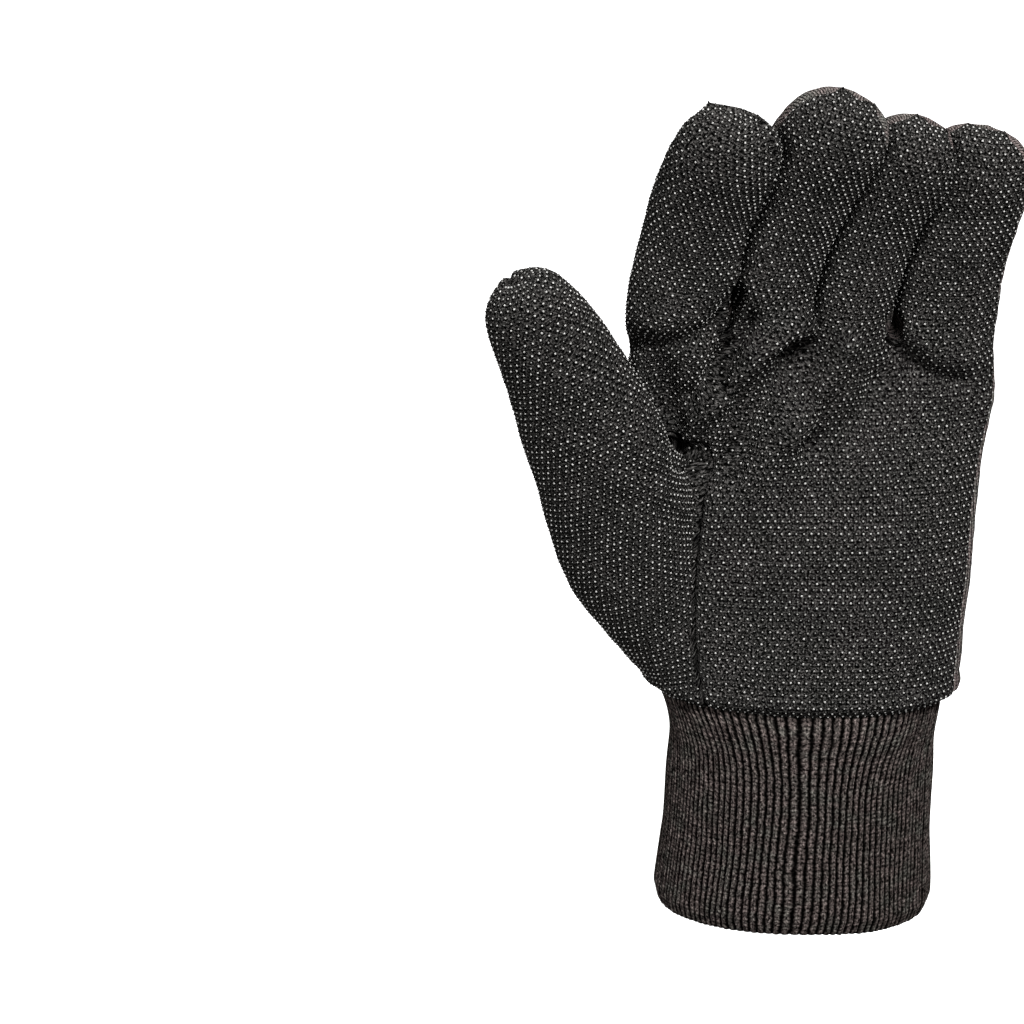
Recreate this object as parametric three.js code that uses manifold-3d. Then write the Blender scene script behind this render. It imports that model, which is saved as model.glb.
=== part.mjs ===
// A left-hand jersey work glove with a dotted grip palm and a rib-knit cuff, in the shape it has on an upright hand.
// Millimetres. +Z runs to the fingertips, -Y is in front of the palm and -X is the thumb side. The origin is the
// centre of the wrist opening. The cloth is hollow: every panel is a wall, and neighbours meet at a sewn edge.
import * as THREE from "three";
import Module from "manifold-3d";
import { mergeVertices } from "three/addons/utils/BufferGeometryUtils.js";

// Driving dimensions: lengths in millimetres, angles in degrees
const jerseyWall = 2;
const seamGap = 0.3;
const cuffHeight = 64;
const cuffWidth = 76;
const cuffDepth = 50;
const cuffWall = 2.4;
const ribCount = 120;
const ribDepth = 0.5;
const palmLength = 101;
const palmWidth = 94;
const palmDepth = 38;
const palmTwist = 8;
const fingerGap = 1.4;
const crotchDrop = 0.5;
const thumbLength = 111;
const thumbWidth = 31;
const thumbDepth = 26;
const thumbCuffClear = 1.5;
const tipEar = 1.6;
const seamLip = 1.2;

// One row for each finger. across and rise place its root as shares of the palm's width and length, forward as a
// share of its depth. lean is the slant away from the thumb and curl the bend towards the palm, at root and tip.
// flare widens its thumb side above the root, as a share of its width. roll turns the front of the tip towards the
// thumb, in degrees.
const fingers = [
  {
    name: "index", across: -0.362, rise: 1.02, forward: 0.24, length: 77, width: 27.5, depth: 23,
    leanRoot: 1, leanTip: 27, curlRoot: 10, curlTip: 41, flare: 0.07, roll: 8,
  },
  {
    name: "middle", across: -0.14, rise: 1.06, forward: 0.15, length: 78, width: 27.5, depth: 23,
    leanRoot: 5, leanTip: 36, curlRoot: 9, curlTip: 40, flare: 0, roll: 20,
  },
  {
    name: "ring", across: 0.09, rise: 1.04, forward: 0.06, length: 69, width: 26, depth: 21.5,
    leanRoot: 4, leanTip: 37, curlRoot: 7, curlTip: 38, flare: 0, roll: 18,
  },
  {
    name: "little", across: 0.366, rise: 0.96, forward: -0.02, length: 70, width: 28.5, depth: 20,
    leanRoot: 3, leanTip: 13, curlRoot: 5, curlTip: 34, flare: 0, roll: 14,
  },
];

// Finger sections from root to the start of the round tip: shares of the finger's straight length, width and depth
const fingerSections = [
  { along: 0.0, wide: 1.0, deep: 1.1 },
  { along: 0.1, wide: 0.97, deep: 1.05 },
  { along: 0.24, wide: 0.97, deep: 1.02 },
  { along: 0.4, wide: 0.98, deep: 1.0 },
  { along: 0.56, wide: 1.0, deep: 0.98 },
  { along: 0.72, wide: 1.04, deep: 0.97 },
  { along: 0.87, wide: 1.07, deep: 0.95 },
  { along: 1.0, wide: 1.04, deep: 0.92 },
];
// Where the flare of a finger is widest, and how far it reaches, as shares of the straight length
const flareMiddle = 0.24;
const flareReach = 0.5;

// The round tips: rings at these degrees of a quarter circle, how blunt they are, and the width of the seam on top as
// a share of the finger's width. The seam lies towards the back by a share of half the finger's depth, lower than a
// round end by a share of its radius, and the rings lean back to it by up to tipTilt degrees.
const tipArc = [24, 47, 66];
const tipBluntness = 0.8;
const tipSeamShare = 0.3;
const tipSeamBack = 0.7;
const tipDrop = 0.29;
const tipTilt = 28;
const tipLipBulge = 0.5;

// Palm sections from the cuff seam to the finger roots: shares of the palm's length, width and depth
const palmSections = [
  { up: 0.0, centre: 0.0, wide: 0.9, deep: 1.29, forward: 0.0 },
  { up: 0.03, centre: 0.0, wide: 0.94, deep: 1.31, forward: 0.0 },
  { up: 0.1, centre: 0.0, wide: 0.945, deep: 1.28, forward: 0.0 },
  { up: 0.19, centre: 0.005, wide: 0.945, deep: 1.23, forward: 0.01 },
  { up: 0.28, centre: 0.01, wide: 0.945, deep: 1.17, forward: 0.02 },
  { up: 0.37, centre: 0.012, wide: 0.95, deep: 1.11, forward: 0.03 },
  { up: 0.46, centre: 0.014, wide: 0.955, deep: 1.05, forward: 0.04 },
  { up: 0.555, centre: 0.014, wide: 0.965, deep: 0.99, forward: 0.05 },
  { up: 0.65, centre: 0.012, wide: 0.98, deep: 0.93, forward: 0.06 },
  { up: 0.74, centre: 0.01, wide: 1.0, deep: 0.87, forward: 0.07 },
  { up: 0.83, centre: 0.006, wide: 1.02, deep: 0.81, forward: 0.08 },
  { up: 0.92, centre: 0.002, wide: 1.04, deep: 0.74, forward: 0.09 },
  { up: 1.0, centre: 0.0, wide: 1.05, deep: 0.68, forward: 0.1 },
];
// Where the palm starts to take the shape of the finger roots, and how late most of that comes
const rootBlendStart = 0.35;
const rootBlendPower = 1.3;

// Where the three back seams cross the palm's width, at the cuff and at the finger roots, between its two edges
const backSeamsAtCuff = [0, 0.27, 0.68, 0.93, 1];
const backSeamsAtRoots = [0, 0.29, 0.54, 0.77, 1];

// Dents and folds of the palm's front: centre and reach as shares of the palm's width and length, depth as a share
// of the palm's depth, turned by slant degrees from upright. A negative depth is a ridge.
const palmFolds = [
  { across: 0.08, up: 0.8, wide: 0.24, tall: 0.26, slant: 20, depth: 0.118 },
  { across: -0.2, up: 0.66, wide: 0.09, tall: 0.24, slant: 36, depth: -0.079 },
  { across: -0.3, up: 0.86, wide: 0.1, tall: 0.16, slant: 36, depth: 0.066 },
  { across: -0.42, up: 0.82, wide: 0.12, tall: 0.16, slant: 0, depth: 0.132 },
  { across: 0.4, up: 0.8, wide: 0.16, tall: 0.06, slant: 0, depth: 0.058 },
  { across: 0.02, up: 0.35, wide: 0.22, tall: 0.3, slant: 0, depth: 0.04 },
];
// The share of the palm's length over which the folds fade out at the cuff seam
const foldFade = 0.15;

// Thumb sections after the sewn hole. out, forward and up place the centre from the middle of the hole, and the last
// row is the tip, as shares of the thumb's length. wide and deep are shares of its width and depth. heading is the
// slant away from upright, lean the slant to the front and turn the roll towards the fingers, in degrees. own is how
// far the section has left the shape of the hole.
const thumbSections = [
  { out: 0.03, forward: 0.022, up: 0.028, heading: 85, lean: 20, turn: 8, wide: 2.3, deep: 1.12, own: 0.5 },
  { out: 0.068, forward: 0.066, up: 0.075, heading: 71, lean: 12, turn: 19, wide: 2.03, deep: 1.08, own: 0.62 },
  { out: 0.11, forward: 0.105, up: 0.135, heading: 65, lean: 14, turn: 22, wide: 1.9, deep: 1.03, own: 0.84 },
  { out: 0.145, forward: 0.145, up: 0.2, heading: 58, lean: 13, turn: 24, wide: 1.8, deep: 0.98, own: 0.96 },
  { out: 0.176, forward: 0.185, up: 0.334, heading: 51, lean: 12, turn: 25, wide: 1.56, deep: 0.95, own: 1 },
  { out: 0.212, forward: 0.222, up: 0.446, heading: 44, lean: 14, turn: 24, wide: 1.33, deep: 0.94, own: 1 },
  { out: 0.254, forward: 0.258, up: 0.565, heading: 37, lean: 16, turn: 22, wide: 1.13, deep: 0.94, own: 1 },
  { out: 0.295, forward: 0.292, up: 0.675, heading: 31, lean: 18, turn: 19, wide: 0.97, deep: 0.92, own: 1 },
  { out: 0.326, forward: 0.323, up: 0.752, heading: 26, lean: 22, turn: 16, wide: 0.85, deep: 0.88, own: 1 },
];
const thumbTip = { out: 0.352, forward: 0.368, up: 0.836 };
// How far below the index finger's root the thumb keeps clear of the palm, as a share of the palm's length
const thumbClearShare = 0.25;
// The thumb's base pulls the palm's edge outwards and forwards, by shares of its width and depth, from the share
// low to the share high of its length. It fades out over these strips.
const thumbPull = { out: 0.064, forward: 0.026, low: 0.02, high: 0.72, fromStrip: 1, toStrip: 8 };

// Cuff sections from the wrist opening to the seam: shares of the cuff's height, width and depth
const cuffSections = [
  { up: 0.0, centre: -0.01, wide: 1.0, deep: 0.98 },
  { up: 0.03, centre: -0.008, wide: 1.03, deep: 1.03 },
  { up: 0.35, centre: 0.002, wide: 0.99, deep: 0.985 },
  { up: 0.8, centre: 0.012, wide: 0.965, deep: 0.96 },
  { up: 0.93, centre: 0.01, wide: 1.0, deep: 0.98 },
];

// How many strips and rows of faces the surface has: across the front or back of a finger, across each of its sides,
// round and up the thumb's hole, and how many strips the thumb's outer edge lies behind the middle of the hole's foot
const frontStrips = 5;
const sideStrips = 4;
const thumbFrontStrips = 3;
const thumbBackStrips = 1;
const thumbRows = 9;
const thumbRoll = 3;
const lineSteps = 48;

// Where the sewn edges lie across an oval section, as shares of its half width, and how square the oval is
const fingerSeamShare = 0.88;
const palmSeamShare = 0.86;
const ovalPower = 2.25;

const radians = THREE.MathUtils.degToRad;
const mix = THREE.MathUtils.lerp;
const vector = (x, y, z) => new THREE.Vector3(x, y, z);
const smooth = (low, high, value) => THREE.MathUtils.smoothstep(value, low, high);
const palmFoot = cuffHeight + seamGap;

// The height of the oval at a place across it, both as shares of its half sizes, and its corner at a sine or cosine
const ovalHeight = (share) => (1 - Math.min(1, Math.abs(share)) ** ovalPower) ** (1 / ovalPower);
const ovalSide = (wave) => Math.sign(wave) * Math.abs(wave) ** (2 / ovalPower);

// The corners of one oval section as shares of its half sizes: along the front, the far side, the back, the near
// side. frontPlaces and backPlaces run from -1 to 1 between the two sewn corners.
function ovalLoop(frontPlaces, backPlaces, corner) {
  const cornerHeight = ovalHeight(corner);
  const sides = Array.from({ length: sideStrips - 1 }, (_, k) => (2 * (k + 1)) / sideStrips - 1);
  return [
    ...frontPlaces.map((place) => [place * corner, -ovalHeight(place * corner)]),
    ...sides.map((place) => [ovalHeight(place * cornerHeight), place * cornerHeight]),
    ...backPlaces.toReversed().map((place) => [place * corner, ovalHeight(place * corner)]),
    ...sides.toReversed().map((place) => [-ovalHeight(place * cornerHeight), place * cornerHeight]),
  ];
}

const evenPlaces = (count) => Array.from({ length: count + 1 }, (_, k) => (2 * k) / count - 1);

const onFrame = (frame, [u, v]) =>
  frame.centre.clone().addScaledVector(frame.u, u * frame.halfWidth).addScaledVector(frame.v, v * frame.halfDepth);

// A finger's direction at a share of its length
function fingerHeading(finger, share) {
  const lean = radians(mix(finger.leanRoot, finger.leanTip, share));
  const curl = radians(mix(finger.curlRoot, finger.curlTip, share));
  return vector(Math.sin(lean) * Math.cos(curl), -Math.sin(curl), Math.cos(lean) * Math.cos(curl));
}

// A finger's centreline from its root to its tip
function fingerLine(finger) {
  const x = finger.across * palmWidth;
  const y = x * Math.tan(radians(palmTwist)) - finger.forward * palmDepth;
  const line = [vector(x, y, palmFoot + finger.rise * palmLength)];
  for (let k = 0; k < lineSteps; k++) {
    const heading = fingerHeading(finger, (k + 0.5) / lineSteps);
    line.push(line[k].clone().addScaledVector(heading, finger.length / lineSteps));
  }
  return line;
}

// The frames of a finger's sections, and the frame of the seam at its tip
function fingerFrames(finger, line) {
  const across = vector(Math.cos(radians(palmTwist)), Math.sin(radians(palmTwist)), 0);
  const frameAt = (share, halfWidth, halfDepth) => {
    const low = Math.min(lineSteps - 1, Math.floor(share * lineSteps));
    const centre = line[low].clone().lerp(line[low + 1], share * lineSteps - low);
    const along = fingerHeading(finger, share);
    const u = across.clone().addScaledVector(along, -across.dot(along)).normalize();
    u.applyAxisAngle(along, -radians(finger.roll) * share);
    return { centre, u, v: along.clone().cross(u), along, halfWidth, halfDepth };
  };
  const tipRadius = finger.width / 2;
  const straight = finger.length - tipRadius;
  const frames = fingerSections.map((s) => {
    const flare = finger.flare * tipRadius * (1 - smooth(0, flareReach, Math.abs(s.along - flareMiddle)));
    const frame = frameAt(
      (s.along * straight) / finger.length, s.wide * tipRadius + flare, (s.deep * finger.depth) / 2);
    frame.centre.addScaledVector(frame.u, -flare);
    return frame;
  });
  const last = fingerSections.at(-1);
  const tipDepth = (last.deep * finger.depth) / 2;
  const tipFrame = (wave, shrink, halfWidth) => {
    const reach = tipRadius * wave * (1 - tipDrop * (1 - shrink));
    const frame = frameAt((straight + reach) / finger.length, halfWidth, tipDepth * shrink);
    frame.centre.addScaledVector(frame.v, tipSeamBack * tipDepth * (1 - shrink));
    frame.v.applyAxisAngle(frame.u, -radians(tipTilt) * wave);
    frame.along.applyAxisAngle(frame.u, -radians(tipTilt) * wave);
    return frame;
  };
  for (const degrees of tipArc) {
    const shrink = Math.cos(radians(degrees)) ** tipBluntness;
    frames.push(tipFrame(Math.sin(radians(degrees)), shrink, last.wide * tipRadius * shrink));
  }
  return { frames, end: tipFrame(1, 0, tipRadius * tipSeamShare) };
}

// Pushes a point back from the plane midway between its own finger and a neighbour, so that pressed fingers stay apart
function keepApart(point, centre, width, other) {
  const nearest = other.line.reduce((best, p) => (p.distanceTo(centre) < best.distanceTo(centre) ? p : best));
  const normal = nearest.clone().sub(centre).normalize();
  const middle = centre.clone().lerp(nearest, width / (width + other.width));
  const past = point.clone().sub(middle).dot(normal) + fingerGap / 2;
  return past > 0 ? point.addScaledVector(normal, -past) : point;
}

// The outer surface of the whole glove as four-sided faces, each of one panel
const points = [];
const faces = [];
const addPoint = (p) => points.push(p) - 1;
const addFace = (panel, ...corners) => faces.push({ panel, corners });

// The strip of faces between two loops of points
function addStrip(panelOf, below, above) {
  above.forEach((_, k) => {
    const next = (k + 1) % above.length;
    addFace(panelOf(k), below[k], below[next], above[next], above[k]);
  });
}

const made = fingers.map((finger) => {
  const line = fingerLine(finger);
  return { ...finger, line, ...fingerFrames(finger, line) };
});
const fingerLoop = ovalLoop(evenPlaces(frontStrips), evenPlaces(frontStrips), fingerSeamShare);
const frontCount = frontStrips * fingers.length;
const loopCount = 2 * frontCount + 2 * sideStrips;
const backStart = frontCount + sideStrips;
const topRow = palmSections.length - 1;

// The palm's section at a row, as points in the order of ovalLoop
function palmOval(row) {
  const s = palmSections[row];
  const seams = backSeamsAtCuff.map((share, k) => mix(share, backSeamsAtRoots[k], s.up));
  const backPlaces = [-1];
  for (let k = 0; k < fingers.length; k++)
    for (let j = 1; j <= frontStrips; j++)
      backPlaces.push(2 * mix(seams[k], seams[k + 1], j / frontStrips) - 1);
  const turn = radians(palmTwist * s.up);
  const frame = {
    centre: vector(s.centre * palmWidth, -s.forward * palmDepth, palmFoot + s.up * palmLength),
    u: vector(Math.cos(turn), Math.sin(turn), 0),
    v: vector(-Math.sin(turn), Math.cos(turn), 0),
    halfWidth: (s.wide * palmWidth) / 2,
    halfDepth: (s.deep * palmDepth) / 2,
  };
  return ovalLoop(evenPlaces(frontCount), backPlaces, palmSeamShare).map((place) => onFrame(frame, place));
}

// The finger roots as one loop round the top of the palm, and the short lines of points down the three crotches
const rootLoops = made.map((finger) => fingerLoop.map((place) => onFrame(finger.frames[0], place)));
function rootLoop() {
  const loop = new Array(loopCount);
  const backOfLoop = frontStrips + sideStrips;
  rootLoops.forEach((own, i) => {
    for (let k = 0; k <= frontStrips; k++) {
      const front = i * frontStrips + k;
      const back = backStart + (fingers.length - 1 - i) * frontStrips + k;
      for (const [place, corner] of [[front, own[k]], [back, own[backOfLoop + k]]])
        loop[place] = loop[place] ? loop[place].lerp(corner, 0.5) : corner.clone();
    }
  });
  for (let k = 1; k < sideStrips; k++) {
    loop[frontCount + k] = rootLoops.at(-1)[frontStrips + k];
    loop[loopCount - k] = rootLoops[0].at(-k);
  }
  return loop;
}
const crotchLine = (i) => Array.from({ length: sideStrips - 1 }, (_, k) =>
  rootLoops[i][frontStrips + 1 + k].clone().lerp(rootLoops[i + 1].at(-1 - k), 0.5).add(vector(0, 0, -crotchDrop)));

// Pulls a point of the palm's thumb-side edge out to the thumb's base
function pullToThumb(point, column, up) {
  const near = 1 - smooth(thumbPull.fromStrip, thumbPull.toStrip, Math.min(column, loopCount - column));
  const share = THREE.MathUtils.clamp((up - thumbPull.low) / (thumbPull.high - thumbPull.low), 0, 1);
  const pull = near * Math.sin(Math.PI * share);
  point.add(vector(-thumbPull.out * palmWidth * pull, -thumbPull.forward * palmDepth * pull, 0));
}

// How deep the folds of the palm's front are at a point
function foldDepth(point) {
  return palmFolds.reduce((sum, fold) => {
    const turn = radians(fold.slant);
    const dx = point.x - fold.across * palmWidth;
    const dz = point.z - cuffHeight - fold.up * palmLength;
    const a = (dx * Math.cos(turn) - dz * Math.sin(turn)) / (fold.wide * palmWidth);
    const b = (dx * Math.sin(turn) + dz * Math.cos(turn)) / (fold.tall * palmLength);
    return sum + fold.depth * palmDepth * Math.exp(-a * a - b * b);
  }, 0);
}

// The palm: rows of points from the cuff seam to the finger roots
function palmRows() {
  const topPoints = rootLoop();
  const topOval = palmOval(topRow);
  return palmSections.map((s, row) => {
    const blend = smooth(rootBlendStart, 1, s.up) ** rootBlendPower;
    return palmOval(row).map((point, column) => {
      point.addScaledVector(topPoints[column].clone().sub(topOval[column]), blend);
      pullToThumb(point, column, s.up);
      if (column > 0 && column < frontCount) point.y += foldDepth(point) * smooth(0, foldFade, s.up);
      return addPoint(point);
    });
  });
}
const palmGrid = palmRows();

function panelOfColumn(column) {
  if (column < frontCount) return "grip_palm";
  if (column < backStart + frontStrips) return "back_little";
  if (column < backStart + 2 * frontStrips) return "back_ring";
  if (column < backStart + 3 * frontStrips) return "back_middle";
  return "grip_palm";
}
const inThumbHole = (row, column) =>
  row < thumbRows && (column < thumbFrontStrips || column >= loopCount - sideStrips - thumbBackStrips);

for (let row = 0; row < topRow; row++)
  for (let column = 0; column < loopCount; column++) {
    if (inThumbHole(row, column)) continue;
    const next = (column + 1) % loopCount;
    const [low, high] = [palmGrid[row], palmGrid[row + 1]];
    addFace(panelOfColumn(column), low[column], low[next], high[next], high[column]);
  }

// The seam line across a tip, and three points round each of its ends. The near end is drawn out into a small ear.
function tipSeam(end, ear, settle, edges) {
  const line = evenPlaces(edges).map((place) =>
    addPoint(settle(onFrame(end, [place, 0]).addScaledVector(end.u, place === -1 ? -ear : 0))));
  const side = (sign) => [-1, 0, 1].map((place) => {
    const out = end.halfWidth + (sign < 0 ? ear : 0) + seamLip * (1 + tipLipBulge - place * place);
    return addPoint(settle(end.centre.clone()
      .addScaledVector(end.u, sign * out)
      .addScaledVector(end.v, place * seamLip)
      .addScaledVector(end.along, -seamLip)));
  });
  return { line, near: side(-1).toReversed(), far: side(1) };
}

// Closes a tube whose last ring folds flat onto a seam line: strips of faces up each side, then one face at each end
function closeTip(panelOf, ring, { line, near, far }) {
  const frontEdges = line.length - 1;
  const backEdge = frontEdges + sideStrips;
  const above = ring.map((_, k) => {
    if (k <= frontEdges) return line[k];
    if (k < backEdge) return far[k - frontEdges - 1];
    if (k <= backEdge + frontEdges) return line[backEdge + frontEdges - k];
    return near[k - backEdge - frontEdges - 1];
  });
  addStrip(panelOf, ring, above);
  addFace(panelOf(frontEdges), line.at(-1), ...far);
  addFace(panelOf(ring.length - 1), line[0], ...near);
}

// The fingers: tubes on the loops of the finger roots. Neighbours share the points of the crotch between them.
const backPanels = ["grip_palm", "back_middle", "back_ring", "back_little"];
const crotches = made.slice(1).map((_, i) => crotchLine(i).map(addPoint));
function fingerTube(finger, i) {
  const top = palmGrid[topRow];
  const backAt = backStart + (fingers.length - 1 - i) * frontStrips;
  const far = i < crotches.length ? crotches[i] : top.slice(frontCount + 1, backStart);
  const near = i > 0 ? crotches[i - 1].toReversed() : top.slice(-sideStrips + 1);
  const back = Array.from({ length: frontStrips + 1 }, (_, k) => top[(backAt + k) % loopCount]);
  let below = [...top.slice(i * frontStrips, (i + 1) * frontStrips + 1), ...far, ...back, ...near];
  const panelOf = (k) => (k < frontStrips ? "grip_palm" : backPanels[i]);
  const neighbours = [made[i - 1], made[i + 1]].filter(Boolean);
  const settle = (p, centre) => neighbours.reduce((q, other) => keepApart(q, centre, finger.width, other), p);
  for (const frame of finger.frames.slice(1)) {
    const ring = fingerLoop.map((place) => addPoint(settle(onFrame(frame, place), frame.centre)));
    addStrip(panelOf, below, ring);
    below = ring;
  }
  const ear = i === 0 ? tipEar : 0;
  closeTip(panelOf, below, tipSeam(finger.end, ear, (p) => settle(p, finger.end.centre), frontStrips));
}
made.forEach(fingerTube);

// The edge of the palm's hole for the thumb: up its front, back over its top, down its back and along the cuff seam
function thumbHole(holeStrips) {
  const columns = Array.from({ length: holeStrips + 1 }, (_, k) => (thumbFrontStrips - k + loopCount) % loopCount);
  const rows = Array.from({ length: thumbRows }, (_, k) => k);
  return [
    ...rows.map((row) => palmGrid[row][columns[0]]),
    ...columns.map((column) => palmGrid[thumbRows][column]),
    ...rows.slice(1).toReversed().map((row) => palmGrid[row][columns.at(-1)]),
    ...columns.slice(1).toReversed().map((column) => palmGrid[0][column]),
  ];
}

// The frame of a thumb section placed from the middle of the hole
function thumbFrame(middle, s) {
  const heading = radians(s.heading);
  const lean = radians(s.lean);
  const centre = middle.clone().add(vector(-s.out, -s.forward, s.up).multiplyScalar(thumbLength));
  const along = vector(
    -Math.sin(heading) * Math.cos(lean), -Math.sin(lean), Math.cos(heading) * Math.cos(lean));
  const u = vector(Math.cos(heading), 0, Math.sin(heading)).applyAxisAngle(along, -radians(s.turn));
  const v = along.clone().cross(u);
  return { centre, along, u, v, halfWidth: (s.wide * thumbWidth) / 2, halfDepth: (s.deep * thumbDepth) / 2 };
}

// The thumb: a tube that leaves the shape of the hole and turns into an oval
function thumbTube() {
  const holeStrips = thumbFrontStrips + sideStrips + thumbBackStrips;
  const hole = thumbHole(holeStrips);
  const count = hole.length;
  const outerEdge = count - holeStrips / 2 - thumbRoll;
  const middle = hole.reduce((sum, k) => sum.add(points[k]), vector(0, 0, 0)).divideScalar(count);
  const belowIndex = made[0].line[0].clone().add(vector(0, 0, -palmLength * thumbClearShare));
  const palmSide = { width: made[0].width, line: [belowIndex, ...made[0].line] };
  let below = hole;
  const grow = (frame, own) => {
    const ring = hole.map((corner, k) => {
      const angle = (2 * Math.PI * (k - outerEdge)) / count;
      const p = onFrame(frame, [-ovalSide(Math.cos(angle)), -ovalSide(Math.sin(angle))]);
      if (own === 1) return addPoint(keepApart(p, frame.centre, 2 * frame.halfWidth, palmSide));
      const mixed = points[corner].clone().lerp(p, own);
      mixed.z = Math.max(mixed.z, cuffHeight + thumbCuffClear);
      return addPoint(mixed);
    });
    addStrip(() => "grip_thumb", below, ring);
    below = ring;
  };
  for (const s of thumbSections) grow(thumbFrame(middle, s), s.own);
  const last = thumbFrame(middle, thumbSections.at(-1));
  const tip = thumbFrame(middle, { ...thumbSections.at(-1), ...thumbTip, wide: tipSeamShare, deep: 0 });
  for (const degrees of tipArc) {
    const shrink = Math.cos(radians(degrees)) ** tipBluntness;
    grow({
      ...last,
      centre: last.centre.clone().lerp(tip.centre, Math.sin(radians(degrees))),
      halfWidth: last.halfWidth * shrink,
      halfDepth: last.halfDepth * shrink,
    }, 1);
  }
  const start = outerEdge + sideStrips / 2;
  const turned = below.map((_, k) => below[(k + start) % count]);
  closeTip(() => "grip_thumb", turned, tipSeam(tip, tipEar, (p) => p, count / 2 - sideStrips));
}
thumbTube();

// The outward normal at each point of the surface
const normals = points.map(() => vector(0, 0, 0));
for (const { corners } of faces) {
  const [a, b, c, d] = corners.map((k) => points[k]);
  const area = c.clone().sub(a).cross(d.clone().sub(b));
  corners.forEach((k) => normals[k].add(area));
}
normals.forEach((normal) => normal.normalize());

function meshGeometry(positions, indices) {
  const geometry = new THREE.BufferGeometry();
  geometry.setAttribute("position", new THREE.BufferAttribute(new Float32Array(positions), 3));
  geometry.setIndex(new THREE.BufferAttribute(new Uint32Array(indices), 1));
  geometry.computeVertexNormals();
  return geometry;
}
const flat = (list) => list.flatMap((p) => [p.x, p.y, p.z]);

// The sewn edges of a panel, and the way from each of their points into the panel
function panelRim(own) {
  const edgeKey = (a, b) => a * points.length + b;
  const edges = new Set(own.flatMap(({ corners }) => corners.map((a, k) => edgeKey(a, corners[(k + 1) % 4]))));
  const rim = [];
  const inward = new Map();
  for (const { corners } of own) {
    const middle = corners.reduce((sum, k) => sum.add(points[k]), vector(0, 0, 0)).divideScalar(4);
    corners.forEach((a, k) => {
      const b = corners[(k + 1) % 4];
      if (edges.has(edgeKey(b, a))) return;
      rim.push([a, b]);
      const along = points[b].clone().sub(points[a]).normalize();
      const into = middle.clone().sub(points[a]);
      into.addScaledVector(along, -into.dot(along)).normalize();
      for (const c of [a, b]) inward.set(c, (inward.get(c) ?? vector(0, 0, 0)).add(into));
    });
  }
  return { rim, inward };
}

// A panel as a wall of cloth: its faces, the same faces inside, and a rim along every sewn edge
function panelGeometry(panel) {
  const own = faces.filter((face) => face.panel === panel);
  const { rim, inward } = panelRim(own);
  const used = [...new Set(own.flatMap((face) => face.corners))];
  const place = new Map(used.map((k, at) => [k, at]));
  const outer = used.map((k) => {
    const into = inward.get(k);
    return into ? points[k].clone().addScaledVector(into.normalize(), seamGap / 2) : points[k].clone();
  });
  const inner = outer.map((p, at) => p.clone().addScaledVector(normals[used[at]], -jerseyWall));
  for (const p of inner) p.z = Math.max(p.z, palmFoot);
  const count = used.length;
  const quad = (a, b, c, d) => [a, b, c, a, c, d];
  const indices = own.flatMap(({ corners }) => {
    const [a, b, c, d] = corners.map((k) => place.get(k));
    return [...quad(a, b, c, d), ...quad(a + count, d + count, c + count, b + count)];
  });
  for (const [p, q] of rim) {
    const [a, b] = [place.get(p), place.get(q)];
    // Both panels at a seam split its rim along the same diagonal
    if (p < q) indices.push(...quad(b, a, a + count, b + count));
    else indices.push(...quad(a, a + count, b + count, b));
  }
  return meshGeometry(flat([...outer, ...inner]), indices);
}

// The rows of the cuff in millimetres, with the last one fitted to the foot of the palm
function cuffRows() {
  const foot = new THREE.Box3().setFromPoints(palmGrid[0].map((k) => points[k])).getSize(vector(0, 0, 0));
  const rows = cuffSections.map((s) => ({
    x: s.centre * cuffWidth,
    z: s.up * cuffHeight,
    wide: (s.wide * cuffWidth) / 2,
    deep: (s.deep * cuffDepth) / 2,
  }));
  return [...rows, { x: palmSections[0].centre * palmWidth, z: cuffHeight, wide: foot.x / 2, deep: foot.y / 2 }];
}

// A closed tube through the cuff's rows as a manifold-3d solid: out is how much wider it is on each side, past how
// far it runs beyond both ends, and every second corner lies groove deeper
function cuffLoft(wasm, sides, { out, past, groove }) {
  const rows = cuffRows();
  rows[0].z -= past;
  rows.at(-1).z += past;
  const positions = rows.flatMap((row) => Array.from({ length: sides }, (_, k) => {
    const angle = (2 * Math.PI * k) / sides;
    const reach = out - (k % 2) * groove;
    return vector(
      row.x + (row.wide + reach) * ovalSide(Math.cos(angle)), (row.deep + reach) * ovalSide(Math.sin(angle)), row.z);
  }));
  const top = (rows.length - 1) * sides;
  const low = positions.push(vector(rows[0].x, 0, rows[0].z)) - 1;
  const high = positions.push(vector(rows.at(-1).x, 0, rows.at(-1).z)) - 1;
  const indices = [];
  for (let k = 0; k < sides; k++) {
    const next = (k + 1) % sides;
    for (let row = 0; row < top; row += sides)
      indices.push(row + k, row + next, row + sides + next, row + k, row + sides + next, row + sides + k);
    indices.push(low, next, k, high, top + k, top + next);
  }
  const geometry = meshGeometry(flat(positions), indices);
  geometry.deleteAttribute("normal");
  const { attributes, index } = mergeVertices(geometry);
  const vertProperties = attributes.position.array;
  return new wasm.Manifold(new wasm.Mesh({ numProp: 3, vertProperties, triVerts: new Uint32Array(index.array) }));
}

// The cuff: a ribbed tube with a smooth bore
async function cuffGeometry() {
  const wasm = await Module();
  wasm.setup();
  const outer = cuffLoft(wasm, 2 * ribCount, { out: 0, past: 0, groove: ribDepth });
  const bore = cuffLoft(wasm, ribCount / 2, { out: -cuffWall, past: cuffWall, groove: 0 });
  const { vertProperties, triVerts } = outer.subtract(bore).getMesh();
  return meshGeometry(vertProperties, triVerts);
}

const cloth = (color, roughness) => new THREE.MeshStandardMaterial({ color, roughness, metalness: 0 });
const dottedJersey = cloth(0x363432, 0.85);
const brownJersey = cloth(0x4e4744, 0.95);
const ribKnit = cloth(0x3a3532, 0.95);

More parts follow.
